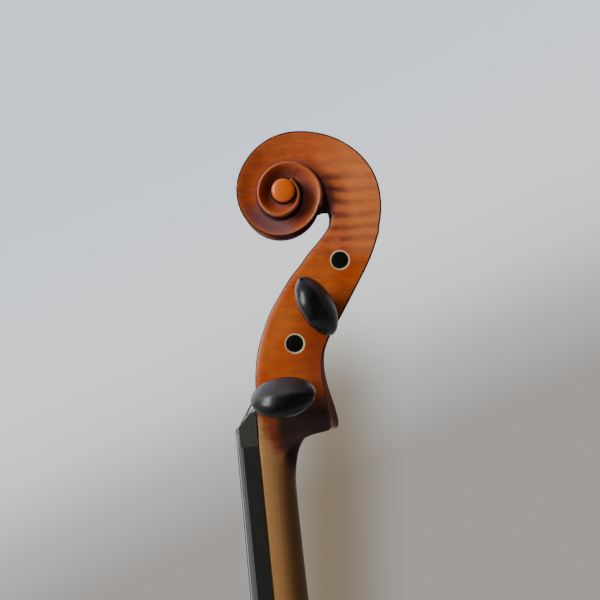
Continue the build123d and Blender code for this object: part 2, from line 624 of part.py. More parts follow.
def tailpiece():
    """Ebony tailpiece: wide and arched at the tuners, narrow at the saddle."""
    faces = []
    for z, half, thick in ((TAIL_BOTTOM_Z, 17.0, 9.0), (TAIL_TOP_Z - 40, 28.0, 10.0), (TAIL_TOP_Z, 31.0, 10.0)):
        y = tail_surface_y(z)
        rise = 0.16 * half
        faces.append(make_face([
            ThreePointArc((-half, y + rise, z), (0, y, z), (half, y + rise, z)),
            Line((half, y + rise, z), (half, y + thick, z)),
            Line((half, y + thick, z), (-half, y + thick, z)),
            Line((-half, y + thick, z), (-half, y + rise, z)),
        ]))
    body = loft(faces, ruled=True)
    for x in TUNER_X.values():
        y = tail_surface_y(TUNER_Z)
        body = body - box_between((x - 2.0, y - 20, PIVOT_Z - 5), (x + 2.0, y + 20, TUNER_Z + 2))
        body = body - box_between((x - 2.0, y + 3.6, PIVOT_Z - 19), (x + 2.0, y + 20, PIVOT_Z))
        body = body - cylinder_between((x, y - 20, SCREW_AT_Z), (x, y + 20, SCREW_AT_Z), 1.4)
    for side in (1, -1):
        body = body - cylinder_between(
            (side * 9, tail_surface_y(TAIL_BOTTOM_Z) + 5.5, TAIL_BOTTOM_Z - 5),
            (side * 9, tail_surface_y(TAIL_BOTTOM_Z) + 5.5, TAIL_BOTTOM_Z + 24), GUT_RADIUS + 0.03)
    body = body - cylinder_between(
        (-40, PIVOT_Y, PIVOT_Z), (40, PIVOT_Y, PIVOT_Z), PIVOT_RADIUS + 0.02)
    return body


GUT_RADIUS = 1.6
PIVOT_Z = TUNER_Z - 12.0
PIVOT_Y = tail_surface_y(PIVOT_Z) + 5.6
PIVOT_RADIUS = 1.0
SCREW_AT_Z = PIVOT_Z - 12.5


def tuner_lever(name):
    """One fine-tuner lever: a bent arm on the pivot pin with a slotted hook for the ball end."""
    x = TUNER_X[name]
    y = tail_surface_y(TUNER_Z)
    arm = box_between((x - 1.6, y - 2.5, PIVOT_Z - 2.4), (x + 1.6, PIVOT_Y + 2.2, PIVOT_Z + 2.4))
    arm += box_between((x - 1.6, y - 12.5, PIVOT_Z + 0.2), (x + 1.6, y - 2.0, PIVOT_Z + 3.4))
    arm += box_between((x - 1.6, PIVOT_Y - 0.6, PIVOT_Z - 15.5), (x + 1.6, PIVOT_Y + 2.2, PIVOT_Z + 2))
    hook = box_between((x - 3.4, y - 13.0, PIVOT_Z + 0.2), (x + 3.4, y - 5.5, PIVOT_Z + 3.4))
    slot = box_between((x - 1.1, y - 14.0, PIVOT_Z - 1), (x + 1.1, y - 7.2, PIVOT_Z + 5))
    arm = arm + hook - slot
    arm = arm - cylinder_between((x - 5, PIVOT_Y, PIVOT_Z), (x + 5, PIVOT_Y, PIVOT_Z), PIVOT_RADIUS + 0.04)
    return arm


def tuner_screw(name):
    """One knurled fine-tuner screw, standing out of the tailpiece's front."""
    x = TUNER_X[name]
    y = tail_surface_y(SCREW_AT_Z)
    body = cylinder_between((x, PIVOT_Y - 0.75, SCREW_AT_Z), (x, y - 5.0, SCREW_AT_Z), 1.35)
    body += cylinder_between((x, y - 5.0, SCREW_AT_Z), (x, y - 13.5, SCREW_AT_Z), 4.2)
    return body


def ball_end(name):
    """The brass ball and served loop at a string's tail, held behind its lever's hook."""
    x = TUNER_X[name]
    y = tail_surface_y(TUNER_Z)
    return Pos(x, y - 9.5, PIVOT_Z - 2.2) * Sphere(2.3)


PLUG_RADIUS = 12.5
PLUG_TOP = BODY_BOTTOM + 40.0
ROD_RADIUS = 5.0
ROD_TOP = 520.0
SPIKE_LENGTH = 16.0
TIP_SEAT_RADIUS, TIP_SEAT_LENGTH = 4.8, 24.0   # turned-down seat for a rubber tip
SCREW_Z = BODY_BOTTOM - 13.0


def endpin_pieces():
    """Endpin: fitted plug, ferrule with its clamping screw, sliding steel rod and hardened point."""
    bore = ROD_RADIUS + 0.05
    plug = cylinder_between((0, 0, BODY_BOTTOM + 3.5), (0, 0, PLUG_TOP), PLUG_RADIUS)
    plug += cylinder_between((0, 0, BODY_BOTTOM - 6), (0, 0, BODY_BOTTOM + 3.5), 17.0, 17.0)
    plug = plug - cylinder_between((0, 0, 0), (0, 0, 600), bore)
    PIECES["endpin_plug"] = plug
    ferrule = cylinder_between((0, 0, BODY_BOTTOM - 20), (0, 0, BODY_BOTTOM - 6), 10.5)
    ferrule = ferrule - cylinder_between((0, 0, 0), (0, 0, 600), bore)
    ferrule = ferrule - cylinder_between((0, -ROD_RADIUS, SCREW_Z), (0, -30, SCREW_Z), 2.5)
    PIECES["endpin_ferrule"] = ferrule
    screw = cylinder_between((0, -ROD_RADIUS - 0.1, SCREW_Z), (0, -16, SCREW_Z), 2.45)
    screw += cylinder_between((0, -13, SCREW_Z), (0, -25, SCREW_Z), 6.5)
    PIECES["endpin_screw"] = screw
    rod = cylinder_between((0, 0, SPIKE_LENGTH + TIP_SEAT_LENGTH), (0, 0, ROD_TOP), ROD_RADIUS)
    rod += cylinder_between((0, 0, SPIKE_LENGTH), (0, 0, SPIKE_LENGTH + TIP_SEAT_LENGTH), TIP_SEAT_RADIUS)
    PIECES["endpin_rod"] = rod
    PIECES["endpin_point"] = cylinder_between((0, 0, 0), (0, 0, SPIKE_LENGTH), 0.8, TIP_SEAT_RADIUS)


def saddle_and_gut():
    """Ebony saddle let into the belly's edge, and the tailgut that runs over it to the endpin."""
    front = -(RIB_HALF + EDGE_THICKNESS + 7)
    block = box_between(
        (-SADDLE_HALF + 0.05, front, BODY_BOTTOM), (SADDLE_HALF - 0.05, -RIB_HALF, BODY_BOTTOM + SADDLE_DEEP - 0.05))
    ridge = [e for e in block.edges() if abs(e.center().Y - front) < 0.1 and e.length > 30]
    block = fillet(ridge, 4.5)
    gut_y = tail_surface_y(TAIL_BOTTOM_Z) + 5.5
    over_y = front - GUT_RADIUS
    gut = None
    for side in (1, -1):
        points = [(side * 9, gut_y, TAIL_BOTTOM_Z + 22), (side * 9, gut_y, TAIL_BOTTOM_Z - 3),
                  (side * 9, over_y - 0.2, BODY_BOTTOM + 6), (side * 9.5, over_y + 3.2, BODY_BOTTOM - 2.2),
                  (side * (17.0 + GUT_RADIUS + 0.3), 0, BODY_BOTTOM - 2.2)]
        for start, end in zip(points, points[1:]):
            piece = cylinder_between(start, end, GUT_RADIUS)
            gut = piece if gut is None else gut + piece
        for corner in points[1:]:
            gut += Pos(*corner) * Sphere(GUT_RADIUS)
    bend = Pos(0, 0, BODY_BOTTOM - 2.2) * Torus(17.0 + GUT_RADIUS + 0.3, GUT_RADIUS)
    gut += bend & box_between((-30, 0, BODY_BOTTOM - 10), (30, 30, BODY_BOTTOM + 10))
    PIECES["saddle"] = block - gut
    PIECES["tail_gut"] = gut


def main():
    """Builds every piece and writes one STEP file for each."""
    plates()
    ribs_and_blocks()
    inner_works()
    neck_and_scroll()
    for name, diameter, nut_x, bridge_x in STRINGS:
        PIECES[f"string_{name}"] = string(name, diameter, nut_x, bridge_x)
    PIECES["fingerboard"] = fingerboard()
    PIECES["nut"] = nut()
    PIECES["bridge"] = bridge()
    PIECES["tailpiece"] = tailpiece()
    PIECES["tuner_pivot_pin"] = cylinder_between((-26, PIVOT_Y, PIVOT_Z), (26, PIVOT_Y, PIVOT_Z), PIVOT_RADIUS)
    for name, diameter, _, _ in STRINGS:
        PIECES[f"peg_{name}"] = peg(name)
        PIECES[f"winding_{name}"] = winding(name, diameter)
        PIECES[f"tuner_lever_{name}"] = tuner_lever(name)
        PIECES[f"tuner_screw_{name}"] = tuner_screw(name)
        PIECES[f"ball_end_{name}"] = ball_end(name)
    endpin_pieces()
    saddle_and_gut()
    os.makedirs("parts", exist_ok=True)
    for name, piece in PIECES.items():
        solids = piece.solids()
        print(name, len(solids), round(sum(s.volume for s in solids)))
        export_step(Compound(solids) if len(solids) > 1 else solids[0], f"parts/{name}.step")


main()
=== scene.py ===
import logging
import math
from dataclasses import dataclass, field
from enum import Enum
from typing import Iterable, Sequence

import bmesh
import bpy
import numpy as np
from mathutils import Matrix, Vector


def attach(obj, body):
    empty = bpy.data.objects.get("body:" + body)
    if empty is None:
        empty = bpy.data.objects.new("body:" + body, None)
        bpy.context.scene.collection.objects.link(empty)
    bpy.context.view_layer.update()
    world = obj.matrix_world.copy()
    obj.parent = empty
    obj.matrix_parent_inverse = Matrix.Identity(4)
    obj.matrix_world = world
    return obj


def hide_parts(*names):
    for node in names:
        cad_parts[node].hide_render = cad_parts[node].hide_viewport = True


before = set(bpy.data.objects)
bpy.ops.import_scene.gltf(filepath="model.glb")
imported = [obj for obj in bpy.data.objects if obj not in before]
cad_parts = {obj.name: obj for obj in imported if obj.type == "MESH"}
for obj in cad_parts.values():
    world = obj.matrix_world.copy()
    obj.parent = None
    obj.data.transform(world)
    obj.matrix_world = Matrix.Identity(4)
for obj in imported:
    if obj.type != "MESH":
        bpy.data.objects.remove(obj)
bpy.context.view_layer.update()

LOG = logging.getLogger("cello")
MM = 0.001
Point = tuple[float, float, float]
Pair = tuple[float, float]
Colour = tuple[float, float, float, float]


# ------------------------------------------------------------------ numbers that describe the instrument
@dataclass(frozen=True)
class Layout:
    """The main sizes of the instrument in millimetres, in the row frame (+Z up, front towards -Y)."""

    body_top: float = 817.0
    rib_half: float = 59.0
    edge: float = 4.5
    overstand: float = 20.0
    neck_length: float = 280.0
    neck_angle: float = 9.5

    @property
    def nut_foot(self) -> Pair:
        """Place (y, z) of the neck's flat under the nut."""
        lean = math.radians(self.neck_angle)
        front = -(self.rib_half + self.edge + self.overstand)
        return (front + self.neck_length * math.sin(lean), self.body_top + self.neck_length * math.cos(lean))

    def neck_matrix(self) -> Matrix:
        """The neck frame: X across, Y (v) towards the back, Z (u) up the neck's flat, from the nut's foot."""
        y, z = self.nut_foot
        return Matrix.Translation((0, y * MM, z * MM)) @ Matrix.Rotation(-math.radians(self.neck_angle), 4, "X")

    def to_neck(self, y: float, z: float) -> Pair:
        """A row-frame place (y, z) as (v, u) of the neck frame."""
        lean = math.radians(self.neck_angle)
        dy, dz = y - self.nut_foot[0], z - self.nut_foot[1]
        return (dy * math.cos(lean) - dz * math.sin(lean), dy * math.sin(lean) + dz * math.cos(lean))


LAYOUT = Layout()
EYE: Pair = (32.3, 163.3)  # middle of the volute, (v, u) in the neck frame


def smooth(points: Sequence[Pair], at: float) -> float:
    """Value at a place on a smooth curve through (place, value) points.

    Args:
        points: the curve's points, in rising order of place.
        at: the place; beyond the ends the end values hold.

    Returns:
        The curve's value there.
    """
    xs = [p[0] for p in points]
    ys = [p[1] for p in points]
    at = min(max(at, xs[0]), xs[-1])
    i = max(0, min(len(xs) - 2, int(np.searchsorted(xs, at)) - 1))
    slopes = []
    for k in (i, i + 1):
        low, high = max(k - 1, 0), min(k + 1, len(xs) - 1)
        slopes.append((ys[high] - ys[low]) / (xs[high] - xs[low]))
    h = xs[i + 1] - xs[i]
    t = (at - xs[i]) / h
    return (
        (2 * t**3 - 3 * t**2 + 1) * ys[i]
        + (t**3 - 2 * t**2 + t) * h * slopes[0]
        + (-2 * t**3 + 3 * t**2) * ys[i + 1]
        + (t**3 - t**2) * h * slopes[1]
    )


def mix(a: float, b: float, t: float) -> float:
    """The value a part t of the way from a to b."""
    return a + (b - a) * t


def middle_of(points: Sequence[Point]) -> Point:
    """The mean of some points."""
    return tuple(float(c) for c in np.mean(np.array(points), axis=0))


def round_turn(count: int) -> np.ndarray:
    """Evenly spaced angles round a full turn, in radians."""
    return np.linspace(0, 2 * math.pi, count, endpoint=False)


def srgb(red: int, green: int, blue: int) -> Colour:
    """A display colour (0 to 255) as a linear shader colour."""
    def channel(value: int) -> float:
        """One channel, made linear."""
        c = value / 255
        return c / 12.92 if c <= 0.04045 else ((c + 0.055) / 1.055) ** 2.4

    return (channel(red), channel(green), channel(blue), 1.0)


# ------------------------------------------------------------------ shader expressions
class Value:
    """A shader number that takes part in Python arithmetic; each operation adds a Math node."""

    def __init__(self, graph: "Graph", socket: bpy.types.NodeSocket) -> None:
        """Wraps an output socket of a graph."""
        self.graph = graph
        self.socket = socket

    def math(self, operation: str, *others: "Value | float", first: bool = True) -> "Value":
        """Adds a Math node.

        Args:
            operation: the Math node's operation.
            others: the other operands.
            first: whether this value is the first operand.

        Returns:
            The node's result.
        """
        operands = [self, *others] if first else [*others, self]
        node = self.graph.node("ShaderNodeMath", {"operation": operation}, dict(enumerate(operands)))
        return Value(self.graph, node.outputs[0])

    def __add__(self, other: "Value | float") -> "Value":
        """self + other"""
        return self.math("ADD", other)

    def __radd__(self, other: float) -> "Value":
        """other + self"""
        return self.math("ADD", other, first=False)

    def __sub__(self, other: "Value | float") -> "Value":
        """self - other"""
        return self.math("SUBTRACT", other)

    def __rsub__(self, other: float) -> "Value":
        """other - self"""
        return self.math("SUBTRACT", other, first=False)

    def __mul__(self, other: "Value | float") -> "Value":
        """self * other"""
        return self.math("MULTIPLY", other)

    def __rmul__(self, other: float) -> "Value":
        """other * self"""
        return self.math("MULTIPLY", other, first=False)

    def __truediv__(self, other: "Value | float") -> "Value":
        """self / other"""
        return self.math("DIVIDE", other)

    def __pow__(self, other: "Value | float") -> "Value":
        """self ** other"""
        return self.math("POWER", other)

    def above(self, low: float, high: float) -> "Value":
        """0 under low, 1 over high, and smooth between (the other way round if high is the lower)."""
        settings = {"interpolation_type": "SMOOTHSTEP"}
        sockets = {"Value": self, "From Min": low, "From Max": high}
        if high < low:
            sockets = {"Value": self, "From Min": high, "From Max": low, "To Min": 1.0, "To Max": 0.0}
        return Value(self.graph, self.graph.node("ShaderNodeMapRange", settings, sockets).outputs[0])


class Graph:
    """One material's node tree, built by expressions."""

    def __init__(self, name: str, neck: bool = False) -> None:
        """Starts an empty material.

        Args:
            name: the material's name.
            neck: whether its places are those of the neck frame instead of the row frame.
        """
        self.material = bpy.data.materials.new(name)
        self.material.use_nodes = True
        self.tree = self.material.node_tree
        self.tree.nodes.clear()
        self.place = self.node("ShaderNodeTexCoord", {}, {}).outputs["Object"]
        self.split()
        if neck:
            lean = math.radians(LAYOUT.neck_angle)
            foot_y, foot_z = (c * MM for c in LAYOUT.nut_foot)
            y, z = self.y - foot_y, self.z - foot_z
            v = y * math.cos(lean) - z * math.sin(lean)
            u = y * math.sin(lean) + z * math.cos(lean)
            self.place = self.node("ShaderNodeCombineXYZ", {}, {0: self.x, 1: v, 2: u}).outputs[0]
            self.split()

    def split(self) -> None:
        """Reads the place's three numbers."""
        parts = self.node("ShaderNodeSeparateXYZ", {}, {0: self.place})
        self.x, self.y, self.z = (Value(self, parts.outputs[i]) for i in range(3))

    def node(self, kind: str, settings: dict, sockets: dict) -> bpy.types.Node:
        """Adds a node.

        Args:
            kind: the node's type.
            settings: its properties, set before its sockets.
            sockets: values, Values or sockets for its inputs, by name or index.

        Returns:
            The new node.
        """
        node = self.tree.nodes.new(kind)
        for key, value in settings.items():
            if key == "stops":
                ramp = node.color_ramp
                while len(ramp.elements) < len(value):
                    ramp.elements.new(0.5)
                for element, (place, colour) in zip(ramp.elements, value):
                    element.position, element.color = place, colour
            else:
                setattr(node, key, value)
        for key, value in sockets.items():
            if isinstance(value, Value):
                value = value.socket
            if isinstance(value, bpy.types.NodeSocket):
                self.tree.links.new(value, node.inputs[key])
            else:
                node.inputs[key].default_value = value
        return node

    def stretched(self, x: float, y: float, z: float, turn: float = 0.0) -> bpy.types.NodeSocket:
        """The surface place multiplied by a factor per axis, after a turn about X in degrees."""
        place = self.place
        if turn:
            settings = {"rotation_type": "X_AXIS"}
            place = self.node("ShaderNodeVectorRotate", settings, {"Vector": place, "Angle": math.radians(turn)})
            place = place.outputs[0]
        node = self.node("ShaderNodeVectorMath", {"operation": "MULTIPLY"}, {0: place, 1: (x, y, z)})
        return node.outputs[0]

    def noise(self, place: bpy.types.NodeSocket, detail: float = 3.0, rough: float = 0.5, bend: float = 0.0) -> Value:
        """Smooth noise of unit scale at a place."""
        sockets = {"Vector": place, "Scale": 1.0, "Detail": detail, "Roughness": rough, "Distortion": bend}
        return Value(self, self.node("ShaderNodeTexNoise", {}, sockets).outputs[0])

    def mark(self, name: str) -> Value:
        """A number painted on the mesh's points under that name."""
        node = self.node("ShaderNodeAttribute", {"attribute_name": name}, {})
        return Value(self, node.outputs["Fac"])

    def blend(self, amount: "Value | float", low: "Colour | bpy.types.NodeSocket",
              high: "Colour | bpy.types.NodeSocket") -> bpy.types.NodeSocket:
        """Colour low where amount is 0, and high where it is 1."""
        node = self.node("ShaderNodeMix", {"data_type": "RGBA", "clamp_factor": True}, {0: amount, 6: low, 7: high})
        return node.outputs[2]

    def finish(self, colour: "Colour | bpy.types.NodeSocket", rough: "Value | float", height: "Value | None" = None,
               depth: float = 0.0002, **fixed: "Value | float") -> bpy.types.Material:
        """Ends the material in a Principled shader.

        Args:
            colour: the base colour.
            rough: the roughness.
            height: the bump height from 0 to 1, if any.
            depth: what a height of 1 stands for, in metres.
            fixed: values for other sockets, with _ for a space.

        Returns:
            The material.
        """
        sockets: dict = {"Base Color": colour, "Roughness": rough}
        sockets.update({key.replace("_", " "): value for key, value in fixed.items()})
        if height is not None:
            bump = self.node("ShaderNodeBump", {}, {"Height": height, "Distance": depth, "Strength": 1.0})
            sockets["Normal"] = bump.outputs[0]
        shader = self.node("ShaderNodeBsdfPrincipled", {}, sockets)
        self.node("ShaderNodeOutputMaterial", {}, {0: shader.outputs[0]})
        return self.material


class Sky(Graph):
    """The world's node tree; its place is the direction looked in."""

    def __init__(self) -> None:
        """Starts an empty world."""
        world = bpy.data.worlds.new("studio")
        bpy.context.scene.world = world
        world.use_nodes = True
        self.tree = world.node_tree
        self.tree.nodes.clear()
        self.place = self.node("ShaderNodeTexCoord", {}, {}).outputs["Generated"]
        self.split()

    def along(self, way: Point) -> Value:
        """How far the direction looked in points along another."""
        return self.x * way[0] + self.y * way[1] + self.z * way[2]

    def ramp(self, place: Value, *stops: tuple[float, Colour]) -> bpy.types.NodeSocket:
        """A colour ramp."""
        return self.node("ShaderNodeValToRGB", {"stops": stops}, {0: place}).outputs[0]

    def show(self, colour: bpy.types.NodeSocket, strength: float) -> None:
        """Ends the tree in a background of that colour."""
        ground = self.node("ShaderNodeBackground", {}, {"Color": colour, "Strength": strength})
        self.node("ShaderNodeOutputWorld", {}, {0: ground.outputs[0]})


# ------------------------------------------------------------------ finishes
PEG_PLACES: dict[str, tuple[int, float, float, float]] = {
    "a": (1, 34.6, 20.2, 4.0),
    "c": (-1, 64.8, 30.3, 20.0),
    "d": (1, 88.0, 46.4, -66.0),
    "g": (-1, 116.0, 64.7, 50.0),
}


class HeadGraph(Graph):
    """The head's node tree: places in the side view in millimetres, painted numbers and shared noises."""

    def __init__(self) -> None:
        """Starts the material in the neck frame."""
        super().__init__("scroll_varnish", neck=True)
        self.up, self.back, self.off = self.z * 1000.0, self.y * 1000.0, self.x.math("ABSOLUTE")
        self.recess, self.edge, self.worn = (self.mark(name) for name in ("recess", "edge", "worn"))
        self.wide = self.noise(self.stretched(30, 34, 40), 2.0, 0.5)
        self.fibre = self.noise(self.stretched(120, 120, 420, turn=6.0), 3.0, 0.6, 0.4)
        self.smudge = self.noise(self.stretched(55, 55, 55), 3.0, 0.6)
        self.chip = self.noise(self.stretched(160, 160, 160), 4.0, 0.65)

    def away(self, v: float, u: float) -> Value:
        """Distance from a (v, u) place in the side view."""
        return ((self.up - u) ** 2.0 + (self.back - v) ** 2.0) ** 0.5


@dataclass(frozen=True)
class ScrollVarnish:
    """Orange-brown varnish over flamed maple on the head, rubbed to pale bare wood along the neck, with painted shade
    and painted highlights.
    """

    orange: Colour = srgb(178, 66, 8)
    gold: Colour = srgb(196, 98, 30)
    rose: Colour = srgb(200, 96, 48)
    pale: Colour = srgb(222, 126, 74)
    # crest wear, and painted highlights where the points are marked for them
    worn: Colour = srgb(182, 98, 50)
    flame: Colour = srgb(126, 62, 50)
    # grain fibres, and painted shade towards the pegbox's back
    red: Colour = srgb(110, 38, 16)
    # painted shadow under the lowest peg
    brown: Colour = srgb(84, 32, 10)
    # painted shade in the hollows
    dusk: Colour = srgb(124, 66, 62)
    # painted violet reflection
    sheen: Colour = srgb(116, 88, 96)
    # painted highlight
    bright: Colour = srgb(232, 136, 74)
    # the chamfers' black, also painted shade in the deepest hollows and at the chin
    black: Colour = srgb(16, 5, 2)
    eye: Colour = srgb(220, 98, 12)
    bare: Colour = srgb(166, 120, 70)
    bare_fibre: Colour = srgb(150, 106, 60)
    # painted shade round the neck's back
    neck_shade: Colour = srgb(104, 68, 32)
    cream: Colour = srgb(206, 190, 152)
    bar_pitch: float = 0.74
    # centre (v, u) of a painted highlight
    shoulder: Pair = (66.0, 186.0)
    peg_rim: Pair = (6.45, 6.75)

    def build(self) -> bpy.types.Material:
        """Makes the material, in the neck frame."""
        g = HeadGraph()
        wander = g.noise(g.stretched(24, 30, 55, turn=5.0), 2.0, 0.5)
        bars = (g.up * self.bar_pitch + g.back * 0.05 + wander * 6.0).math("SINE") * 0.5 + 0.5
        # painted shade: near black on the side face under the shoulders at the chin, kept off the back
        chin = (g.back + g.up * 0.1 + (g.smudge - 0.5) * 12.0).above(7.0, 19.0) * g.up.above(36.0, 18.0)
        chin = chin * (g.up + g.back * 1.1).above(-8.0, 14.0) * g.recess.above(0.12, 0.05)
        colour = self.painted_shade(g, self.flamed(g, bars), chin)
        colour = self.rubbed_and_highlit(g, colour)
        line = g.up + g.back * 2.36 + (g.smudge - 0.5) * 40.0 + (g.fibre - 0.5) * 10.0
        fade = line.above(31.0, 12.0) * g.up.above(-250.0, -222.0)
        colour = self.reamed(g, g.blend(fade, colour, self.hand(g)))
        rough = 0.27 + g.chip * 0.10 + fade * 0.25 + g.recess * 0.30 + g.recess.above(0.75, 0.95) * 0.35
        rough = rough + g.edge * 0.45 + chin * 0.45
        fleck = g.noise(g.stretched(900, 900, 90), 3.0, 0.6)
        height = fleck * 0.2 + bars * 0.15 + g.smudge * 0.5 + g.chip * 0.15
        shine = 0.28 * (1 - fade) * (1 - g.recess.above(0.3, 0.9)) * (1 - chin) * (1 - g.edge)
        return g.finish(colour, rough, height, 0.00016, Coat_Weight=shine, Coat_Roughness=0.14,
                        Specular_IOR_Level=0.28)

    def flamed(self, g: HeadGraph, bars: Value) -> bpy.types.NodeSocket:
        """Ground colours with curly figure: uneven dark bars across the grain, strongest on the cheek."""
        cheek = g.back.above(46.0, 66.0) * g.up.above(112.0, 128.0) * g.up.above(194.0, 170.0)
        figure = bars.above(0.10, 1.0) * (0.20 + 0.74 * cheek) * g.smudge.above(0.20, 0.60)
        colour = g.blend(g.wide.above(0.35, 0.68), self.orange, self.gold)
        colour = g.blend(g.up.above(112.0, 150.0) * g.wide.above(0.15, 0.70) * 0.9, colour, self.rose)
        colour = g.blend(cheek * 0.46, colour, self.pale)
        colour = g.blend(figure, colour, self.flame)
        return g.blend(g.fibre.above(0.45, 0.75) * 0.34, colour, self.red)

    def painted_shade(self, g: HeadGraph, colour: bpy.types.NodeSocket, chin: Value) -> bpy.types.NodeSocket:
        """Painted shade: darker towards the pegbox's back, in the hollows, under the lowest peg and at the chin."""
        # painted shade across the pegbox's side, darker towards its back
        thick = (g.back - g.up * 0.22).above(4.0, 36.0) * g.up.above(104.0, 78.0)
        colour = g.blend(thick * 0.74, colour, self.red)
        # painted shade in the hollows, black where they are deepest
        colour = g.blend(g.recess.above(0.0, 0.60) * 0.80, colour, self.dusk)
        colour = g.blend(g.recess.above(0.66, 1.0) * 0.92, colour, self.black)
        # painted shadow under the lowest peg
        colour = g.blend(g.up.above(30.0, 20.0) * 0.62, colour, self.brown)
        # painted shade, near black, at the chin
        return g.blend(chin * 0.94, colour, self.black)

    def rubbed_and_highlit(self, g: HeadGraph, colour: bpy.types.NodeSocket) -> bpy.types.NodeSocket:
        """Crest wear, painted highlights on cheek edge and shoulder, a painted violet reflection low in the first
        hollow, a brighter eye, black chamfers.
        """
        # crest wear and painted highlights, on the points marked for them
        colour = g.blend(g.worn * g.smudge.above(0.24, 0.56) * 0.75, colour, self.worn)
        middle = g.away(*EYE)
        # painted violet reflection, in a band low in the first hollow
        sheen = middle.above(17.0, 20.0) * middle.above(29.0, 26.5)
        sheen = sheen * g.up.above(160.0, 149.0) * g.back.above(39.0, 32.0)
        colour = g.blend(sheen * 0.62, colour, self.sheen)
        # painted highlights along the cheek's right edge and round the shoulder place
        colour = g.blend(g.back.above(68.0, 78.0) * g.up.above(112.0, 124.0) * 0.36, colour, self.bright)
        colour = g.blend(g.away(*self.shoulder).above(17.0, 4.0) * 0.32, colour, self.bright)
        colour = g.blend(middle.above(7.6, 7.0) * g.off.above(0.0300, 0.0320), colour, self.eye)
        return g.blend(g.edge.above(0.25, 0.8) * g.chip.above(0.30, 0.42) * 0.90, colour, self.black)

    def hand(self, g: HeadGraph) -> bpy.types.NodeSocket:
        """Bare wood for the hand, between the nut and the heel, with painted shade darkening it round its back."""
        colour = g.blend(g.fibre.above(0.35, 0.7) * 0.45, self.bare, self.bare_fibre)
        # painted shade, darker towards the neck's back
        return g.blend((g.back + g.off * -350.0).above(-4.0, 8.0) * 0.84, colour, self.neck_shade)

    def reamed(self, g: HeadGraph, colour: bpy.types.NodeSocket) -> bpy.types.NodeSocket:
        """A cream ring of bare wood round each peg's thin end."""
        inside, outside = self.peg_rim
        for side, u, v, _ in PEG_PLACES.values():
            ring = g.away(v, u).above(outside, inside) * (g.x * -1000.0 * side).above(8.0, 10.0)
            colour = g.blend(ring * 0.9, colour, self.cream)
        return colour


@dataclass(frozen=True)
class PlateVarnish:
    """Varnish over a plate or rib, in row space: grain for spruce or flame for maple."""

    name: str
    ground: Colour
    gold: Colour
    dark: Colour
    grain: Point
    flame: Point
    grain_weight: float = 0.35
    flame_weight: float = 0.0
    edge_from: float = 0.0

    def build(self) -> bpy.types.Material:
        """Makes the material."""
        g = Graph(self.name)
        wide = g.noise(g.stretched(6, 6, 4), 3.0, 0.55)
        lines = g.noise(g.stretched(*self.grain), 2.0, 0.5, 0.15)
        bands = g.noise(g.stretched(*self.flame), 2.0, 0.5, 0.5)
        dust = g.noise(g.stretched(260, 260, 260), 3.0, 0.6)
        colour = g.blend(wide.above(0.3, 0.7), self.ground, self.gold)
        colour = g.blend(lines.above(0.45, 0.62) * self.grain_weight, colour, self.dark)
        colour = g.blend(bands.above(0.47, 0.64) * self.flame_weight, colour, self.dark)
        if self.edge_from:
            side = g.y.math("ABSOLUTE").above(self.edge_from, self.edge_from + 0.001)
            colour = g.blend((1 - side) * 0.35, colour, self.dark)
        rough = 0.22 + dust * 0.10 + wide * 0.06
        return g.finish(colour, rough, lines * 0.6 + dust * 0.4, 0.0001, Coat_Weight=0.45, Coat_Roughness=0.10)


@dataclass(frozen=True)
class BareWood:
    """Planed wood without varnish."""

    name: str
    light: Colour
    dark: Colour
    grain: Point = (500.0, 500.0, 25.0)
    rough: float = 0.55

    def build(self) -> bpy.types.Material:
        """Makes the material."""
        g = Graph(self.name)
        lines = g.noise(g.stretched(*self.grain), 3.0, 0.55, 0.2)
        wide = g.noise(g.stretched(40, 40, 12), 3.0, 0.5)
        colour = g.blend(lines.above(0.4, 0.66) * 0.6, self.light, self.dark)
        colour = g.blend(wide.above(0.45, 0.8) * 0.3, colour, self.dark)
        return g.finish(colour, self.rough + lines * 0.15, lines, 0.00012)


@dataclass(frozen=True)
class Ebony:
    """Polished ebony with faint brown streaks along its grain, rougher and greyer where a reflection is painted on the
    peg heads.
    """

    name: str
    black: Colour = srgb(6, 6, 6)
    brown: Colour = srgb(34, 26, 22)
    grain: Point = (70.0, 420.0, 420.0)
    rough: float = 0.24
    streaks: float = 0.4
    coat: float = 0.12
    # painted reflection
    satin: Colour = srgb(76, 69, 68)

    def build(self) -> bpy.types.Material:
        """Makes the material."""
        g = Graph(self.name)
        lines = g.noise(g.stretched(*self.grain), 4.0, 0.6, 0.5)
        wide = g.noise(g.stretched(*(c * 0.2 for c in self.grain)), 2.0, 0.5)
        pores = g.noise(g.stretched(*(c * 2.4 for c in self.grain)), 2.0, 0.5)
        colour = g.blend(lines.above(0.47, 0.70) * wide.above(0.35, 0.65) * self.streaks, self.black, self.brown)
        # painted reflection of the bright wall, strong on one broad face of each peg head
        satin = g.mark("satin")
        colour = g.blend(satin * (0.25 + 0.45 * wide), colour, self.satin)
        rough = self.rough + lines * 0.12 + satin * 0.12
        return g.finish(colour, rough, pores * 0.5 + lines * 0.5, 0.00007, Coat_Weight=self.coat, Coat_Roughness=0.10,
                        Specular_IOR_Level=0.32)


@dataclass(frozen=True)
class Metal:
    """Drawn, plated or wound metal."""

    name: str
    colour: Colour
    dull: Colour
    rough: float = 0.22
    metallic: float = 1.0
    turns: Point = (300.0, 300.0, 300.0)

    def build(self) -> bpy.types.Material:
        """Makes the material."""
        g = Graph(self.name)
        scratch = g.noise(g.stretched(*self.turns), 3.0, 0.6)
        stain = g.noise(g.stretched(60, 60, 60), 3.0, 0.6)
        colour = g.blend(stain.above(0.45, 0.8) * 0.7, self.colour, self.dull)
        return g.finish(colour, self.rough + scratch * 0.18, scratch, 0.00003, Metallic=self.metallic)


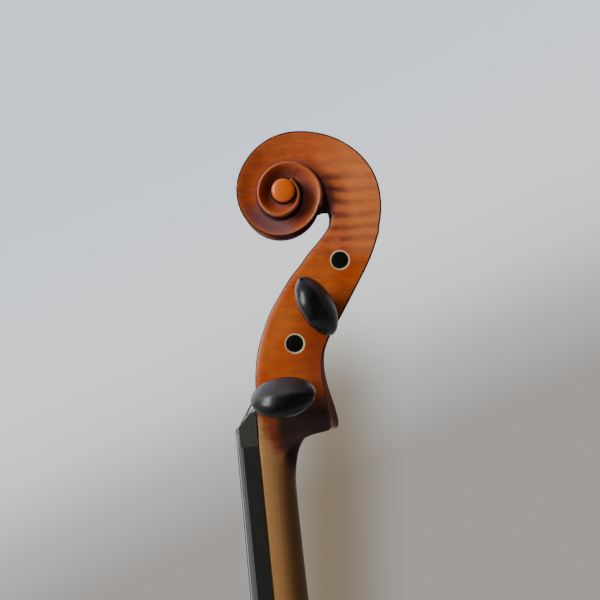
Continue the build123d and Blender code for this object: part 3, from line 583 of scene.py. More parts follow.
class Finish(Enum):
    """Every finish on the instrument."""

    SCROLL = ScrollVarnish()
    BELLY = PlateVarnish("belly_varnish", srgb(190, 96, 30), srgb(214, 128, 52), srgb(122, 54, 20),
                         (620.0, 80.0, 9.0), (9.0, 9.0, 5.0), 0.5, 0.15, 0.0642)
    BACK = PlateVarnish("back_varnish", srgb(170, 78, 24), srgb(204, 112, 40), srgb(94, 38, 16),
                        (420.0, 80.0, 26.0), (9.0, 9.0, 110.0), 0.22, 0.62, 0.0642)
    RIBS = PlateVarnish("rib_varnish", srgb(168, 76, 24), srgb(200, 108, 38), srgb(92, 38, 16),
                        (40.0, 380.0, 40.0), (70.0, 6.0, 70.0), 0.22, 0.62)
    NUT = Ebony("nut_ebony", srgb(58, 59, 54), srgb(84, 80, 70), (60.0, 360.0, 360.0), 0.34, 0.35, 0.15)
    BOARD = Ebony("board_ebony", srgb(32, 33, 30), srgb(50, 46, 40), (460.0, 460.0, 30.0), 0.36, 0.35, 0.12)
    PEGS = Ebony("peg_ebony")
    FITTINGS = Ebony("fitting_ebony", grain=(420.0, 420.0, 40.0), rough=0.22)
    MAPLE = BareWood("bridge_maple", srgb(206, 168, 116), srgb(158, 110, 62), (40.0, 420.0, 420.0), 0.45)
    WILLOW = BareWood("willow", srgb(206, 182, 140), srgb(168, 136, 92))
    SPRUCE = BareWood("bare_spruce", srgb(214, 184, 134), srgb(170, 124, 74))
    PURFLING = BareWood("purfling_strip", srgb(44, 30, 22), srgb(92, 62, 40), (90.0, 90.0, 90.0), 0.35)
    STEEL = Metal("drawn_steel", srgb(176, 176, 178), srgb(128, 126, 122), 0.26, 1.0, (900.0, 900.0, 40.0))
    CHROME = Metal("plated_steel", srgb(206, 206, 208), srgb(170, 168, 164), 0.10)
    LACQUER = Metal("black_lacquer", srgb(26, 26, 27), srgb(52, 50, 48), 0.30, 0.2)
    BRASS = Metal("ball_brass", srgb(196, 160, 92), srgb(132, 98, 52), 0.24)
    STRING = Metal("wound_string", srgb(186, 186, 182), srgb(150, 146, 138), 0.42, 0.55, (500.0, 500.0, 2600.0))
    CORD = Ebony("tail_cord", srgb(26, 26, 26), srgb(60, 60, 60), (900.0, 900.0, 900.0), 0.6, 0.4, 0.0)

    @property
    def material(self) -> bpy.types.Material:
        """The finish's material, made the first time it is asked for."""
        if self not in _MADE:
            _MADE[self] = self.value.build()
        return _MADE[self]


_MADE: dict[Finish, bpy.types.Material] = {}


# ------------------------------------------------------------------ mesh drafts
class Draft:
    """A mesh being laid out: named points, faces between them, and numbers painted on the points."""

    def __init__(self) -> None:
        """Starts empty."""
        self.index: dict = {}
        self.points: list[Point] = []
        self.faces: list[tuple[int, ...]] = []
        self.marks: dict[str, dict[int, float]] = {"edge": {}, "recess": {}, "worn": {}, "satin": {}}

    def put(self, key: object, point: Point, **marks: float) -> int:
        """Adds a point under a key, in millimetres, with painted numbers; a known key keeps its point."""
        if key not in self.index:
            self.index[key] = len(self.points)
            self.points.append(point)
        number = self.index[key]
        for name, value in marks.items():
            self.marks[name][number] = max(value, self.marks[name].get(number, 0.0))
        return number

    def face(self, *keys: object) -> None:
        """Adds a face round these keys, leaving out repeats, unless fewer than three differ."""
        ring: list[int] = []
        for key in keys:
            number = self.index[key]
            if number not in ring:
                ring.append(number)
        if len(ring) >= 3:
            self.faces.append(tuple(ring))

    def sheet(self, rows: Sequence[Sequence[object]]) -> None:
        """Adds the quads between rows of keys of one length."""
        for low, high in zip(rows, rows[1:]):
            for j in range(len(low) - 1):
                self.face(low[j], low[j + 1], high[j + 1], high[j])

    def fan(self, ring: Sequence[object], centre: object) -> None:
        """Adds triangles from a closed ring of keys to a centre."""
        for j, key in enumerate(ring):
            self.face(key, ring[(j + 1) % len(ring)], centre)

    def loft(self, name: str, rings: Sequence[Sequence[Point]], **marks: float) -> None:
        """Adds a closed tube through rings of points, with fan caps."""
        keys = []
        for i, ring in enumerate(rings):
            for j, point in enumerate(ring):
                self.put((name, i, j), point, **marks)
            keys.append([(name, i, j) for j in range(len(ring))] + [(name, i, 0)])
        self.sheet(keys)
        for i in (0, len(rings) - 1):
            self.put((name, "cap", i), middle_of(rings[i]), **marks)
            self.fan(keys[i][:-1], (name, "cap", i))

    def build(self, name: str, matrix: Matrix | None = None, sharp: float = 38.0) -> bpy.types.Object:
        """Makes the object.

        Args:
            name: the object's name.
            matrix: where the draft's frame stands in the row frame, if it isn't the row frame.
            sharp: faces that meet at more than this angle in degrees keep a crisp edge.

        Returns:
            The object, linked to the scene.
        """
        mesh = bpy.data.meshes.new(name)
        mesh.from_pydata([(x * MM, y * MM, z * MM) for x, y, z in self.points], [], self.faces)
        if matrix is not None:
            mesh.transform(matrix)
        for mark, values in self.marks.items():
            if values:
                layer = mesh.attributes.new(mark, "FLOAT", "POINT")
                for number, value in values.items():
                    layer.data[number].value = value
        work = bmesh.new()
        work.from_mesh(mesh)
        bmesh.ops.recalc_face_normals(work, faces=work.faces)
        work.to_mesh(mesh)
        work.free()
        mesh.shade_smooth()
        mesh.set_sharp_from_angle(angle=math.radians(sharp))
        thing = bpy.data.objects.new(name, mesh)
        bpy.context.scene.collection.objects.link(thing)
        return thing


def dress(thing: bpy.types.Object, finish: Finish) -> None:
    """Gives an object one finish all over."""
    thing.data.materials.clear()
    thing.data.materials.append(finish.material)


def carve(thing: bpy.types.Object, cutters: Iterable[bpy.types.Object], sharp: float = 38.0) -> None:
    """Cuts closed cutters out of an object and removes the cutters."""
    for cutter in cutters:
        step = thing.modifiers.new("cut", "BOOLEAN")
        step.operation, step.solver, step.object = "DIFFERENCE", "EXACT", cutter
        bpy.context.view_layer.update()
        shape = bpy.data.meshes.new_from_object(thing.evaluated_get(bpy.context.evaluated_depsgraph_get()))
        thing.modifiers.clear()
        old = thing.data
        thing.data = shape
        bpy.data.meshes.remove(old)
        bpy.data.objects.remove(cutter)
    thing.data.shade_smooth()
    thing.data.set_sharp_from_angle(angle=math.radians(sharp))


def settle(thing: bpy.types.Object, finish: Finish, body: str, slot: str, *nodes: str) -> None:
    """Dresses a piece, rides it on a body and hides the CAD nodes that it stands for."""
    dress(thing, finish)
    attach(thing, body)
    if nodes:
        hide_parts(*nodes)
    LOG.info("%s: %d points", thing.name, len(thing.data.vertices))


# ------------------------------------------------------------------ neck, pegbox and volute
@dataclass(frozen=True)
class Station:
    """One cross-section of the neck or pegbox, in the neck frame's (v, u)."""

    front: Pair
    back: Pair
    ridge: Pair
    half_front: float
    half_back: float
    flute: float = 2.0
    round_back: float = 0.0
    flare: float = 1.0

    def numbers(self) -> list[float]:
        """All sizes in one row."""
        return [*self.front, *self.back, *self.ridge, self.half_front, self.half_back, self.flute,
                self.round_back, self.flare]

    @staticmethod
    def of(row: Sequence[float]) -> "Station":
        """The station that a row of numbers describes."""
        return Station((row[0], row[1]), (row[2], row[3]), (row[4], row[5]), *row[6:11])


@dataclass
class Head:
    """Scroll, pegbox, neck and heel, carved from one billet."""

    eye_radius: float = 7.5
    eye_half: float = 33.0
    chamfer: float = 0.9
    step: int = 5
    start: int = -25
    stop: int = 770
    floor_columns: int = 14
    wall_columns: int = 6
    back_columns: int = 20
    throat_swell: float = 5.0
    # a painted highlight along the back edge near the chin, between the heights of chin_span
    chin_highlight: float = 0.4
    chin_span: Pair = (8.0, 24.0)
    back_line: tuple[Pair, ...] = ((40.0, 0.0), (62.0, 1.0))
    button_reach: float = 60.0
    fine_from: int = 24
    edge_stop: int = 335
    # painted shade on the front near the throat, and on the back between the shoulders and the neck
    throat_line: tuple[Pair, ...] = ((96.0, 0.0), (108.0, 1.0))
    chin_line: tuple[Pair, ...] = ((-20.0, 0.0), (-6.0, 0.55), (6.0, 1.0), (24.0, 0.9), (40.0, 0.35), (52.0, 0.0))
    # crest wear by turn angle; the rise from 20 to 80 degrees is a painted highlight on the upper right edge
    crest_wear_and_highlight: tuple[Pair, ...] = ((-25, 0.2), (20, 0.7), (80, 0.7), (120, 0.2), (190, 0.8))
    flute_depth: tuple[Pair, ...] = ((-25.0, 2.2), (90.0, 2.4), (200.0, 3.0), (335.0, 3.2))
    ridge_rise: tuple[Pair, ...] = ((-25.0, 0.3), (60.0, 0.0), (335.0, 0.0))
    # painted shade: on the back's flutes by turn angle, and across the wall and the hollow's floor
    flute_shade: tuple[Pair, ...] = ((100, 0.12), (190, 0.3), (260, 0.97))
    wall_shade: tuple[Pair, ...] = ((0.0, 1.0), (0.4, 0.95), (0.8, 0.55), (1.0, 0.2))
    hollow_shade: tuple[Pair, ...] = ((0.0, 0.02), (0.2, 0.16), (0.7, 0.36), (0.88, 0.50), (1.0, 0.92))
    radius: list[Pair] = field(default_factory=lambda: [
        (-25, 66.5), (-10, 64.2), (3, 61.9), (11, 59.9), (20, 57.0), (30, 53.6), (38, 50.9), (47, 48.0), (57, 45.0),
        (70, 42.0), (79, 40.4), (88, 38.8), (101, 36.7), (113, 34.9), (125, 33.5), (139, 32.3), (154, 31.5),
        (171, 30.9), (184, 30.6), (211, 30.3), (240, 29.9), (264, 28.9), (288, 27.5), (305, 26.6), (322, 25.8),
        (335, 25.3), (350, 25.0), (364, 24.6), (378, 23.7), (392, 22.6), (408, 21.4), (423, 20.5), (437, 19.6),
        (455, 18.5), (473, 17.6), (494, 17.0), (517, 16.8), (537, 16.9), (555, 17.2), (574, 17.4), (590, 17.3),
        (607, 17.0), (620, 16.3), (634, 15.2), (651, 14.0), (672, 12.8), (693, 11.5), (715, 10.4), (736, 9.6),
        (770, 9.0)])
    width: list[Pair] = field(default_factory=lambda: [
        (-25, 16.3), (0, 15.4), (30, 15.2), (60, 16.0), (90, 16.9), (125, 18.0), (165, 19.3), (210, 20.8),
        (255, 21.8), (290, 22.8), (325, 23.5), (350, 24.0), (380, 24.7), (410, 25.3), (440, 26.1), (480, 27.0),
        (530, 28.0), (575, 28.9), (610, 29.7), (640, 30.5), (670, 31.2), (700, 31.8), (730, 32.2), (770, 32.4)])
    hollow: list[Pair] = field(default_factory=lambda: [
        (-25, 0.0), (0, 0.8), (30, 1.7), (60, 2.5), (120, 3.4), (180, 4.2), (270, 5.2), (360, 5.8), (450, 6.4),
        (540, 6.6), (620, 6.0), (700, 4.4), (750, 2.2), (770, 0.6)])
    cove: list[Pair] = field(default_factory=lambda: [
        (-25, 6.4), (-15, 4.8), (0, 3.4), (20, 2.4), (60, 1.7), (180, 1.3), (400, 1.2), (700, 0.7), (770, 0.4)])
    # painted shade in the volute's hollows, by turn angle
    darkness: list[Pair] = field(default_factory=lambda: [
        (-25.0, 0.0), (60.0, 0.0), (150.0, 0.0), (190.0, 0.3), (230.0, 1.5), (300.0, 1.5), (335.0, 1.1),
        (360.0, 1.55), (440.0, 1.5), (500.0, 1.3), (540.0, 0.9), (590.0, 1.0), (640.0, 1.2)])
    stations: list[Station] = field(default_factory=lambda: [
        Station((61.6, 145.6), (92.0, 131.4), (92.2, 131.2), 16.6, 16.4, 2.2),
        Station((60.4, 140.6), (90.4, 127.8), (90.8, 127.6), 16.8, 16.8, 2.2),
        Station((57.2, 135.4), (88.2, 122.6), (88.7, 122.4), 17.1, 17.3, 2.2),
        Station((51.6, 129.2), (85.1, 116.1), (85.7, 115.8), 17.6, 18.0, 2.2),
        Station((44.9, 122.7), (80.4, 108.0), (81.1, 107.6), 18.2, 19.0, 2.3),
        Station((38.5, 115.3), (74.9, 99.4), (75.7, 99.0), 19.0, 20.0, 2.4),
        Station((31.2, 107.5), (68.7, 90.1), (69.6, 89.5), 20.0, 21.0, 2.4),
        Station((23.8, 97.7), (61.8, 79.7), (62.9, 79.2), 20.9, 22.0, 2.4),
        Station((16.6, 87.2), (56.3, 72.0), (57.4, 71.5), 21.7, 23.0, 2.4),
        Station((11.4, 76.8), (51.9, 65.2), (53.2, 64.9), 22.3, 23.9, 2.4),
        Station((7.1, 66.1), (48.2, 57.7), (49.8, 57.5), 22.9, 24.5, 2.5),
        Station((4.2, 55.4), (46.5, 49.5), (48.4, 49.4), 23.2, 25.2, 2.6, 0.0, 1.3),
        Station((2.6, 44.6), (46.1, 41.5), (48.4, 41.4), 23.6, 26.2, 2.8, 0.0, 1.7),
        Station((2.0, 34.3), (46.8, 33.0), (49.6, 32.8), 23.3, 27.4, 3.0, 0.0, 2.2),
        Station((1.8, 25.0), (47.6, 24.6), (51.6, 24.0), 22.0, 28.7, 3.2, 0.0, 2.8),
        Station((1.5, 17.0), (48.3, 16.8), (53.3, 16.0), 20.3, 29.8, 3.3, 0.0, 3.2),
        Station((1.2, 10.5), (48.4, 11.2), (54.2, 9.0), 18.5, 30.0, 3.2, 0.05, 3.4),
        Station((0.9, 6.0), (47.4, 8.0), (53.2, 5.2), 17.3, 28.4, 2.8, 0.2, 3.4),
        Station((0.7, 2.8), (43.0, 6.4), (49.2, 4.4), 16.6, 24.6, 2.0, 0.45, 3.0),
        Station((0.5, 0.2), (36.0, 4.8), (43.2, 4.7), 16.2, 21.2, 1.2, 0.7, 2.6),
        Station((0.4, -2.4), (28.0, 1.6), (35.6, 3.9), 16.0, 18.6, 0.6, 0.9, 2.2),
        Station((0.3, -5.6), (20.5, -3.2), (30.2, -0.2), 15.9, 17.0, 0.2, 1.0, 1.8),
        Station((0.2, -9.6), (15.5, -8.6), (26.6, -6.2), 15.8, 16.3, 0.0, 1.0, 1.4),
        Station((0.1, -15.0), (12.5, -14.6), (24.3, -13.2), 15.75, 15.9, 0.0, 1.0, 1.0),
        Station((0.0, -23.0), (11.0, -23.0), (22.6, -22.5), 15.8, 15.8, 0.0, 1.0, 1.0),
        Station((0.0, -34.0), (10.5, -34.0), (21.9, -34.0), 16.0, 16.0, 0.0, 1.0, 1.0),
        Station((0.0, -60.0), (10.0, -60.0), (22.0, -60.0), 16.5, 16.3, 0.0, 1.0, 1.0),
        Station((0.0, -120.0), (10.0, -120.0), (23.2, -120.0), 17.9, 17.5, 0.0, 1.0, 1.0)])
    heel: list[tuple[float, float, float]] = field(default_factory=lambda: [
        (100.0, 26.4, 20.2), (74.0, 33.0, 21.1), (57.0, 45.0, 21.8), (44.0, 66.0, 22.3), (34.0, 90.0, 22.8),
        (27.0, 118.0, 23.3), (22.0, 150.0, 23.7), (14.0, 160.0, 24.2), (4.0, 164.0, 24.6), (-8.0, 165.0, 24.8)])

    def edge(self, angle: float, inset: float = 0.0) -> Pair:
        """(v, u) of the volute's edge at a turn angle, drawn in by an inset."""
        reach = (smooth(self.radius, angle) if angle <= self.stop else self.eye_radius) - inset
        turn = math.radians(angle)
        return (EYE[0] + reach * math.cos(turn), EYE[1] + reach * math.sin(turn))

    def all_stations(self) -> list[Station]:
        """Stations from under the throat to the heel, with smooth ones between them."""
        rows = [s.numbers() for s in self.stations]
        for lift, depth, half in self.heel:
            z = LAYOUT.body_top + lift
            front = -(LAYOUT.rib_half + LAYOUT.edge + LAYOUT.overstand) + lift * math.tan(
                math.radians(LAYOUT.neck_angle))
            tip = front + depth
            at_front, at_tip = LAYOUT.to_neck(front, z), LAYOUT.to_neck(tip, z)
            waist = LAYOUT.to_neck(front + (tip - front) * 0.5, z)
            rows.append([*at_front, *waist, *at_tip, half, half * 0.97, 0.0, 1.0, 1.0])
        out: list[Station] = []
        for i in range(len(rows) - 1):
            cuts = 3 if i < self.fine_from else 4
            for k in range(cuts):
                place = i + k / cuts
                out.append(Station.of([smooth(list(enumerate(column)), place) for column in zip(*rows)]))
        out.append(Station.of(rows[-1]))
        return out

    def side_shares(self) -> list[float]:
        """How the columns of a side face share its width, from back (0) to front (1)."""
        last = self.floor_columns
        return [j / (last - 2) for j in range(1, last - 2)]

    def lay_station(self, draft: Draft, row: int, s: Station) -> None:
        """Lays one ring of the pegbox or neck."""
        cut = mix(self.chamfer, 0.05, s.round_back)
        (bv, bu), (fv, fu) = s.back, s.front
        length = math.hypot(fv - bv, fu - bu)
        along = ((fv - bv) / length, (fu - bu) / length)
        for side in (1, -1):
            places = [(0.0, s.half_back - cut, 1.0), (cut, s.half_back, 1.0), (cut + 0.5, None, 0.0)]
            places += [(mix(cut + 0.5, length - self.chamfer - 0.5, t), None, 0.0) for t in self.side_shares()]
            places += [(length - self.chamfer - 0.5, None, 0.0), (length - self.chamfer, s.half_front, 1.0)]
            for j, (far, half, black) in enumerate(places):
                if half is None:
                    half = s.half_front + (s.half_back - s.half_front) * (1 - far / length) ** s.flare
                edge = black * (1 - s.round_back)
                if j < 3:
                    edge *= smooth(self.back_line, s.back[1])
                # a painted highlight along the back edge near the chin
                worn = self.chin_highlight if j < 2 and self.chin_span[0] < s.back[1] < self.chin_span[1] else 0.0
                point = (side * half, bv + along[0] * far, bu + along[1] * far)
                draft.put(("s", side, -row, j), point, worn=worn, edge=edge)
        # painted shade on the back, deepest between the shoulders and the neck
        for c in range(1, self.back_columns):
            x, v, u = self.back_point(s.half_back - cut, s.back, s.ridge, s.flute, s.round_back, c)
            draft.put(("b", -row, c), (x, v, u), recess=mix(0.12, 0.40, self.chin_shade(s)) * (1 - s.round_back))
        # painted shade on the front, full near the throat
        for c in range(1, self.back_columns):
            x = self.front_x(s.half_front, c)
            draft.put(("f", -row, c), (x, fv, fu), edge=1.0 if c in (1, self.back_columns - 1) else 0.0,
                      recess=smooth(self.throat_line, fu))

    def chin_shade(self, s: Station) -> float:
        """How much painted shade darkens the back, between the shoulders and the neck."""
        return 0.9 * smooth(self.chin_line, s.back[1])

    def front_x(self, half: float, column: int) -> float:
        """Place across the front face of a column, with a narrow first and last column for the chamfer."""
        inner = half - self.chamfer
        return inner * (1 - 2 * (column - 1) / (self.back_columns - 2))

    def back_point(self, half: float, edge: Pair, ridge: Pair, flute: float, rounded: float, column: int) -> Point:
        """A point of the fluted (or, on the neck, rounded) back.

        Args:
            half: half width at the edge.
            edge: (v, u) of the edge.
            ridge: (v, u) of the middle.
            flute: depth of the flutes.
            rounded: 0 for flutes, 1 for an even curve.
            column: the column from the +X edge.

        Returns:
            The point (x, v, u).
        """
        share = 2 * column / self.back_columns
        side = 1 if share <= 1 else -1
        a = share if share <= 1 else 2 - share
        # an even curve
        x_round, lift_round = half * math.cos(a * math.pi / 2), math.sin(a * math.pi / 2)
        # two flutes with a ridge between them
        x_flute, lift_flute = half * (1 - a), a**1.5
        dip = flute * math.sin(math.pi * min(1.0, a * 1.02)) ** 0.85 * (1 - rounded)
        x = mix(x_flute, x_round, rounded)
        lift = mix(lift_flute, lift_round, rounded)
        v, u = mix(edge[0], ridge[0], lift), mix(edge[1], ridge[1], lift)
        out_v, out_u = self.outward(edge)
        return (side * x, v - dip * out_v, u - dip * out_u)

    def outward(self, edge: Pair) -> Pair:
        """Unit direction out of the back at an edge place of the pegbox or volute."""
        v, u = edge
        if u < 8.0:
            lean = smooth([(-30.0, 0.0), (0.0, -20.0), (5.0, -60.0), (8.0, -50.0)], u)
        elif u < 118.0 and v > 20:
            lean = smooth([(8.0, -50.0), (14.0, -8.0), (40.0, 2.0), (55.0, -15.0), (75.0, -33.0), (118.0, -30.0)], u)
        else:
            turn = math.atan2(u - EYE[1], v - EYE[0])
            return (math.cos(turn), math.sin(turn))
        return (math.cos(math.radians(lean)), math.sin(math.radians(lean)))

    def key(self, side: int, row: int, column: int) -> object:
        """Key of a side point; the last column is the outer edge one turn further in."""
        rows_per_turn = 360 // self.step
        last_row = (self.stop - self.start) // self.step
        if column < self.floor_columns + self.wall_columns:
            if row == last_row and column >= 1:
                return ("eye", side, 0, rows_per_turn - 1)
            return ("s", side, row, column)
        inner = row + rows_per_turn
        if inner <= last_row:
            return ("s", side, inner, 0)
        return ("eye", side, 0, (inner - last_row - 1) % rows_per_turn)

    def lay_volute(self, draft: Draft) -> None:
        """Lays the spiral: edge, hollow and the wall up to the next turn, on both sides."""
        last_row = (self.stop - self.start) // self.step
        for side in (1, -1):
            for row in range(last_row + 1):
                self.lay_turn(draft, side, row)
            self.lay_eye(draft, side)
            rows = [[self.key(side, row, j) for j in range(self.floor_columns + self.wall_columns + 1)]
                    for row in range(last_row + 1)]
            draft.sheet(rows)
            ring = 360 // self.step
            draft.face(("s", side, last_row, 0), ("eye", side, 0, 0), ("eye", side, 0, ring - 1))

    def lay_turn(self, draft: Draft, side: int, row: int) -> None:
        """Lays one row of the spiral."""
        angle = self.start + row * self.step
        w = smooth(self.width, angle)
        reach = smooth(self.radius, angle)
        inner = smooth(self.radius, angle + 360) if angle + 360 <= self.stop else self.eye_radius
        inner_w = smooth(self.width, angle + 360) if angle + 360 <= self.stop else self.eye_half
        base = min(inner + smooth(self.cove, angle), reach - self.chamfer - 0.9)
        base = max(base, inner + 0.02)
        depth = smooth(self.hollow, angle)
        turn = math.radians(angle)
        dark = smooth(self.darkness, angle)

        def lay(column: int, far: float, half: float, **marks: float) -> None:
            """Puts one point of the row."""
            point = (side * half, EYE[0] + far * math.cos(turn), EYE[1] + far * math.sin(turn))
            draft.put(("s", side, row, column), point, **marks)

        # crest wear, with a painted highlight band on the first turn's upper right
        bright = 1.0 if angle > self.crest_wear_and_highlight[-1][0] else smooth(self.crest_wear_and_highlight, angle)
        lay(0, reach, w - self.chamfer, edge=1.0 if angle < self.edge_stop else 0.0, worn=bright)
        lay(1, reach - self.chamfer, w, edge=0.0 if angle > self.edge_stop else 1.0, worn=bright)
        crest = reach - self.chamfer - 0.5
        for j in range(2, self.floor_columns + 1):
            t = (j - 2) / (self.floor_columns - 2)
            fall = math.sin(t * math.pi / 2) ** 1.15
            # painted shade at the foot of the wall, where the hollow meets it
            wall_foot_shade = smooth([(0.86, 0.0), (1.0, 0.80)], t) * smooth([(-25.0, 0.0), (40.0, 0.6), (240.0, 1.0)], angle)
            shade = max(wall_foot_shade, dark * smooth(self.hollow_shade, t))
            worn = bright * max(0.0, 0.8 - 3.2 * t)
            lay(j, mix(crest, base, t), w - 0.05 - depth * fall, recess=max(shade, self.throat(angle, t)), worn=worn)
        floor = w - 0.05 - depth
        for j in range(self.floor_columns + 1, self.floor_columns + self.wall_columns):
            q = (j - self.floor_columns) / self.wall_columns
            far = mix(base, inner, 1 - (1 - q) ** 2.4)
            half = mix(floor, inner_w - self.chamfer, q**1.15)
            lay(j, far, half, recess=smooth(self.wall_shade, q))

    @staticmethod
    def throat(angle: float, share: float) -> float:
        """Painted shade near the throat, where the first turn closes over the pegbox."""
        return max(0.0, 1 - abs(angle + 25) / 45) * max(0.0, (share - 0.86) / 0.14)

    def lay_eye(self, draft: Draft, side: int) -> None:
        """Lays the eye: a low dome with a small bevel."""
        ring = 360 // self.step
        profile = ((self.eye_radius, self.eye_half - 1.5), (self.eye_radius - 0.3, self.eye_half - 0.8),
                   (self.eye_radius - 0.9, self.eye_half - 0.25), (self.eye_radius - 2.2, self.eye_half + 0.25),
                   (self.eye_radius * 0.35, self.eye_half + 0.6))
        for level, (far, half) in enumerate(profile):
            for k in range(ring):
                turn = math.radians(self.stop + self.step * (k + 1))
                point = (side * half, EYE[0] + far * math.cos(turn), EYE[1] + far * math.sin(turn))
                draft.put(("eye", side, level, k), point, worn=1.0 if level else 0.5)
        draft.put(("eye", side, "middle"), (side * (self.eye_half + 0.7), *EYE), worn=1.0)
        rows = [[("eye", side, level, k % ring) for k in range(ring + 1)] for level in range(len(profile))]
        draft.sheet(rows)
        draft.fan(rows[-1][:-1], ("eye", side, "middle"))

    def span(self, row: int, column: int, kind: str, line: int) -> list[object]:
        """Keys of a row from side to side: an edge point, a line of inner points of one kind, an edge point."""
        inner = [(kind, line, c) for c in range(1, self.back_columns)]
        return [("s", 1, row, column), *inner, ("s", -1, row, column)]

    def build(self) -> bpy.types.Object:
        """Builds the whole carved piece, with its pegbox hollowed and its peg holes reamed."""
        draft = Draft()
        self.lay_volute(draft)
        stations = self.all_stations()
        for row, station in enumerate(stations, start=1):
            self.lay_station(draft, row, station)
        turn_rows = 360 // self.step
        m = self.back_columns
        for row in range(turn_rows + 1):
            angle = self.start + row * self.step
            w = smooth(self.width, angle) - self.chamfer
            flute, rise = smooth(self.flute_depth, angle), smooth(self.ridge_rise, angle)
            out_v, out_u = math.cos(math.radians(angle)), math.sin(math.radians(angle))
            v, u = self.edge(angle)
            for c in range(1, m):
                point = self.back_point(w, (v, u), (v + rise * out_v, u + rise * out_u), flute, 0.0, c)
                draft.put(("b", row, c), point, recess=smooth(self.flute_shade, angle))
        lowest = -len(stations)
        draft.sheet([self.span(row, 0, "b", row) for row in range(lowest, turn_rows + 1)])
        k = self.floor_columns
        for side in (1, -1):
            draft.sheet([[("s", side, row, j) for j in range(k + 1)] for row in range(lowest, 1)])
        _, tip_v, tip_u = draft.points[draft.index[("s", 1, 0, k)]]
        # the pegbox's front at the throat is in painted full shade
        for c in range(1, m):
            point = (self.front_x(stations[0].half_front, c), tip_v, tip_u)
            draft.put(("f", 0, c), point, edge=1.0 if c in (1, m - 1) else 0.0, recess=1.0)
        draft.sheet([self.span(row, k, "f", row) for row in range(lowest, 1)])
        self.close_throat(draft, turn_rows)
        ring = [("s", 1, lowest, j) for j in range(k + 1)] + [("f", lowest, c) for c in range(1, m)]
        ring += [("s", -1, lowest, k - j) for j in range(k + 1)] + [("b", lowest, m - c) for c in range(1, m)]
        draft.face(*ring)
        self.flatten_heel(draft)
        thing = draft.build("head_and_neck", LAYOUT.neck_matrix())
        carve(thing, [self.cavity(), *(self.reamer(name) for name in PEG_PLACES)])
        return thing

    def flatten_heel(self, draft: Draft) -> None:
        """Trims the heel flat where it lies on the back's button."""
        there = LAYOUT.neck_matrix()
        here = there.inverted()
        for i, point in enumerate(draft.points):
            place = there @ (Vector(point) * MM)
            if place.y > LAYOUT.rib_half * MM and place.z < (LAYOUT.body_top + self.button_reach) * MM:
                place.y = LAYOUT.rib_half * MM
                draft.points[i] = tuple((here @ place) / MM)

    def close_throat(self, draft: Draft, turn_rows: int) -> None:
        """Closes the throat, between the volute's underside and the pegbox's front."""
        k, n, m = self.floor_columns, self.floor_columns + self.wall_columns, self.back_columns

        def row_keys(q: int) -> list[object]:
            """Keys of one row of the patch, from the pegbox (0) to the volute."""
            if q == 0:
                return self.span(0, k, "f", 0)
            if q == n - k:
                return self.span(turn_rows, 0, "b", turn_rows)
            return self.span(0, k + q, "t", q)

        angle = math.radians(self.start)
        low = [np.array(draft.points[draft.index[key]]) for key in row_keys(0)]
        high = [np.array(draft.points[draft.index[key]]) for key in row_keys(n - k)]
        for q in range(1, n - k):
            t = q / (n - k)
            left = np.array(draft.points[draft.index[("s", 1, 0, k + q)]])
            right = np.array(draft.points[draft.index[("s", -1, 0, k + q)]])
            for c in range(1, m):
                s = c / m
                across = left * (1 - s) + right * s
                along = low[c] * (1 - t) + high[c] * t
                corners = ((low[0] * (1 - s) + low[m] * s) * (1 - t) + (high[0] * (1 - s) + high[m] * s) * t)
                # the gouge leaves the throat fuller in the middle than at its sides
                fuller = self.throat_swell * math.sin(math.pi * s) ** 0.4 * math.sin(math.pi * t**1.7) ** 0.6
                swell = np.array([0.0, math.sin(angle), -math.cos(angle)]) * fuller
                # the throat patch is in painted full shade
                draft.put(("t", q, c), tuple(float(x) for x in across + along - corners + swell), recess=1.0)
        draft.sheet([row_keys(q) for q in range(n - k + 1)])

    def cavity(self) -> bpy.types.Object:
        """The cutter for the pegbox's hollow: straight walls, round bottom."""
        sections = (((-4.0, 24.5), (34.0, 17.0), 12.6), ((-4.0, 44.0), (37.5, 42.0), 13.6),
                    ((-2.0, 67.0), (42.0, 60.0), 13.2), ((7.0, 90.2), (54.0, 78.5), 11.5),
                    ((21.5, 112.8), (67.0, 97.0), 10.0), ((34.5, 125.8), (74.0, 113.5), 9.2),
                    ((47.5, 137.4), (78.5, 126.5), 8.0))
        rings = []
        for (v0, u0), (v1, u1), half in sections:
            deep = math.hypot(v1 - v0, u1 - u0)
            ring: list[Point] = []
            for side in (1, -1):
                arc = [(half * (1 - 0.1 * t), t * (1 - 4.0 / deep)) for t in (0.0, 0.35, 0.7, 1.0)]
                for k in range(1, 5):
                    turn = k / 4 * math.pi / 2
                    arc.append((half * 0.9 - 4.0 * (1 - math.cos(turn)), 1 - 4.0 / deep * (1 - math.sin(turn))))
                points = [(side * x, mix(v0, v1, t), mix(u0, u1, t)) for x, t in arc]
                ring += points if side == 1 else points[::-1]
            rings.append(ring)
        draft = Draft()
        # painted shade inside the pegbox
        draft.loft("cavity", rings, recess=0.7)
        return draft.build("cavity", LAYOUT.neck_matrix())

    def reamer(self, name: str) -> bpy.types.Object:
        """The cutter for one tapered pair of peg holes, with a small lip outside each wall."""
        side, u, v, _ = PEG_PLACES[name]
        half = Pegs.wall_half(u)
        rings = []
        for x in (half + 6, half, half - 0.55, 0.0, -half + 0.55, -half, -half - 6):
            outside = max(0.0, abs(x) - half + 0.55)
            radius = Pegs.shaft_radius(name, half - x) + 0.05 + outside * 0.8
            rings.append([(side * x, v + radius * math.cos(t), u + radius * math.sin(t)) for t in round_turn(56)])
        draft = Draft()
        # painted shade in the peg holes
        draft.loft("reamer", rings, recess=0.6)
        return draft.build("reamer", LAYOUT.neck_matrix())


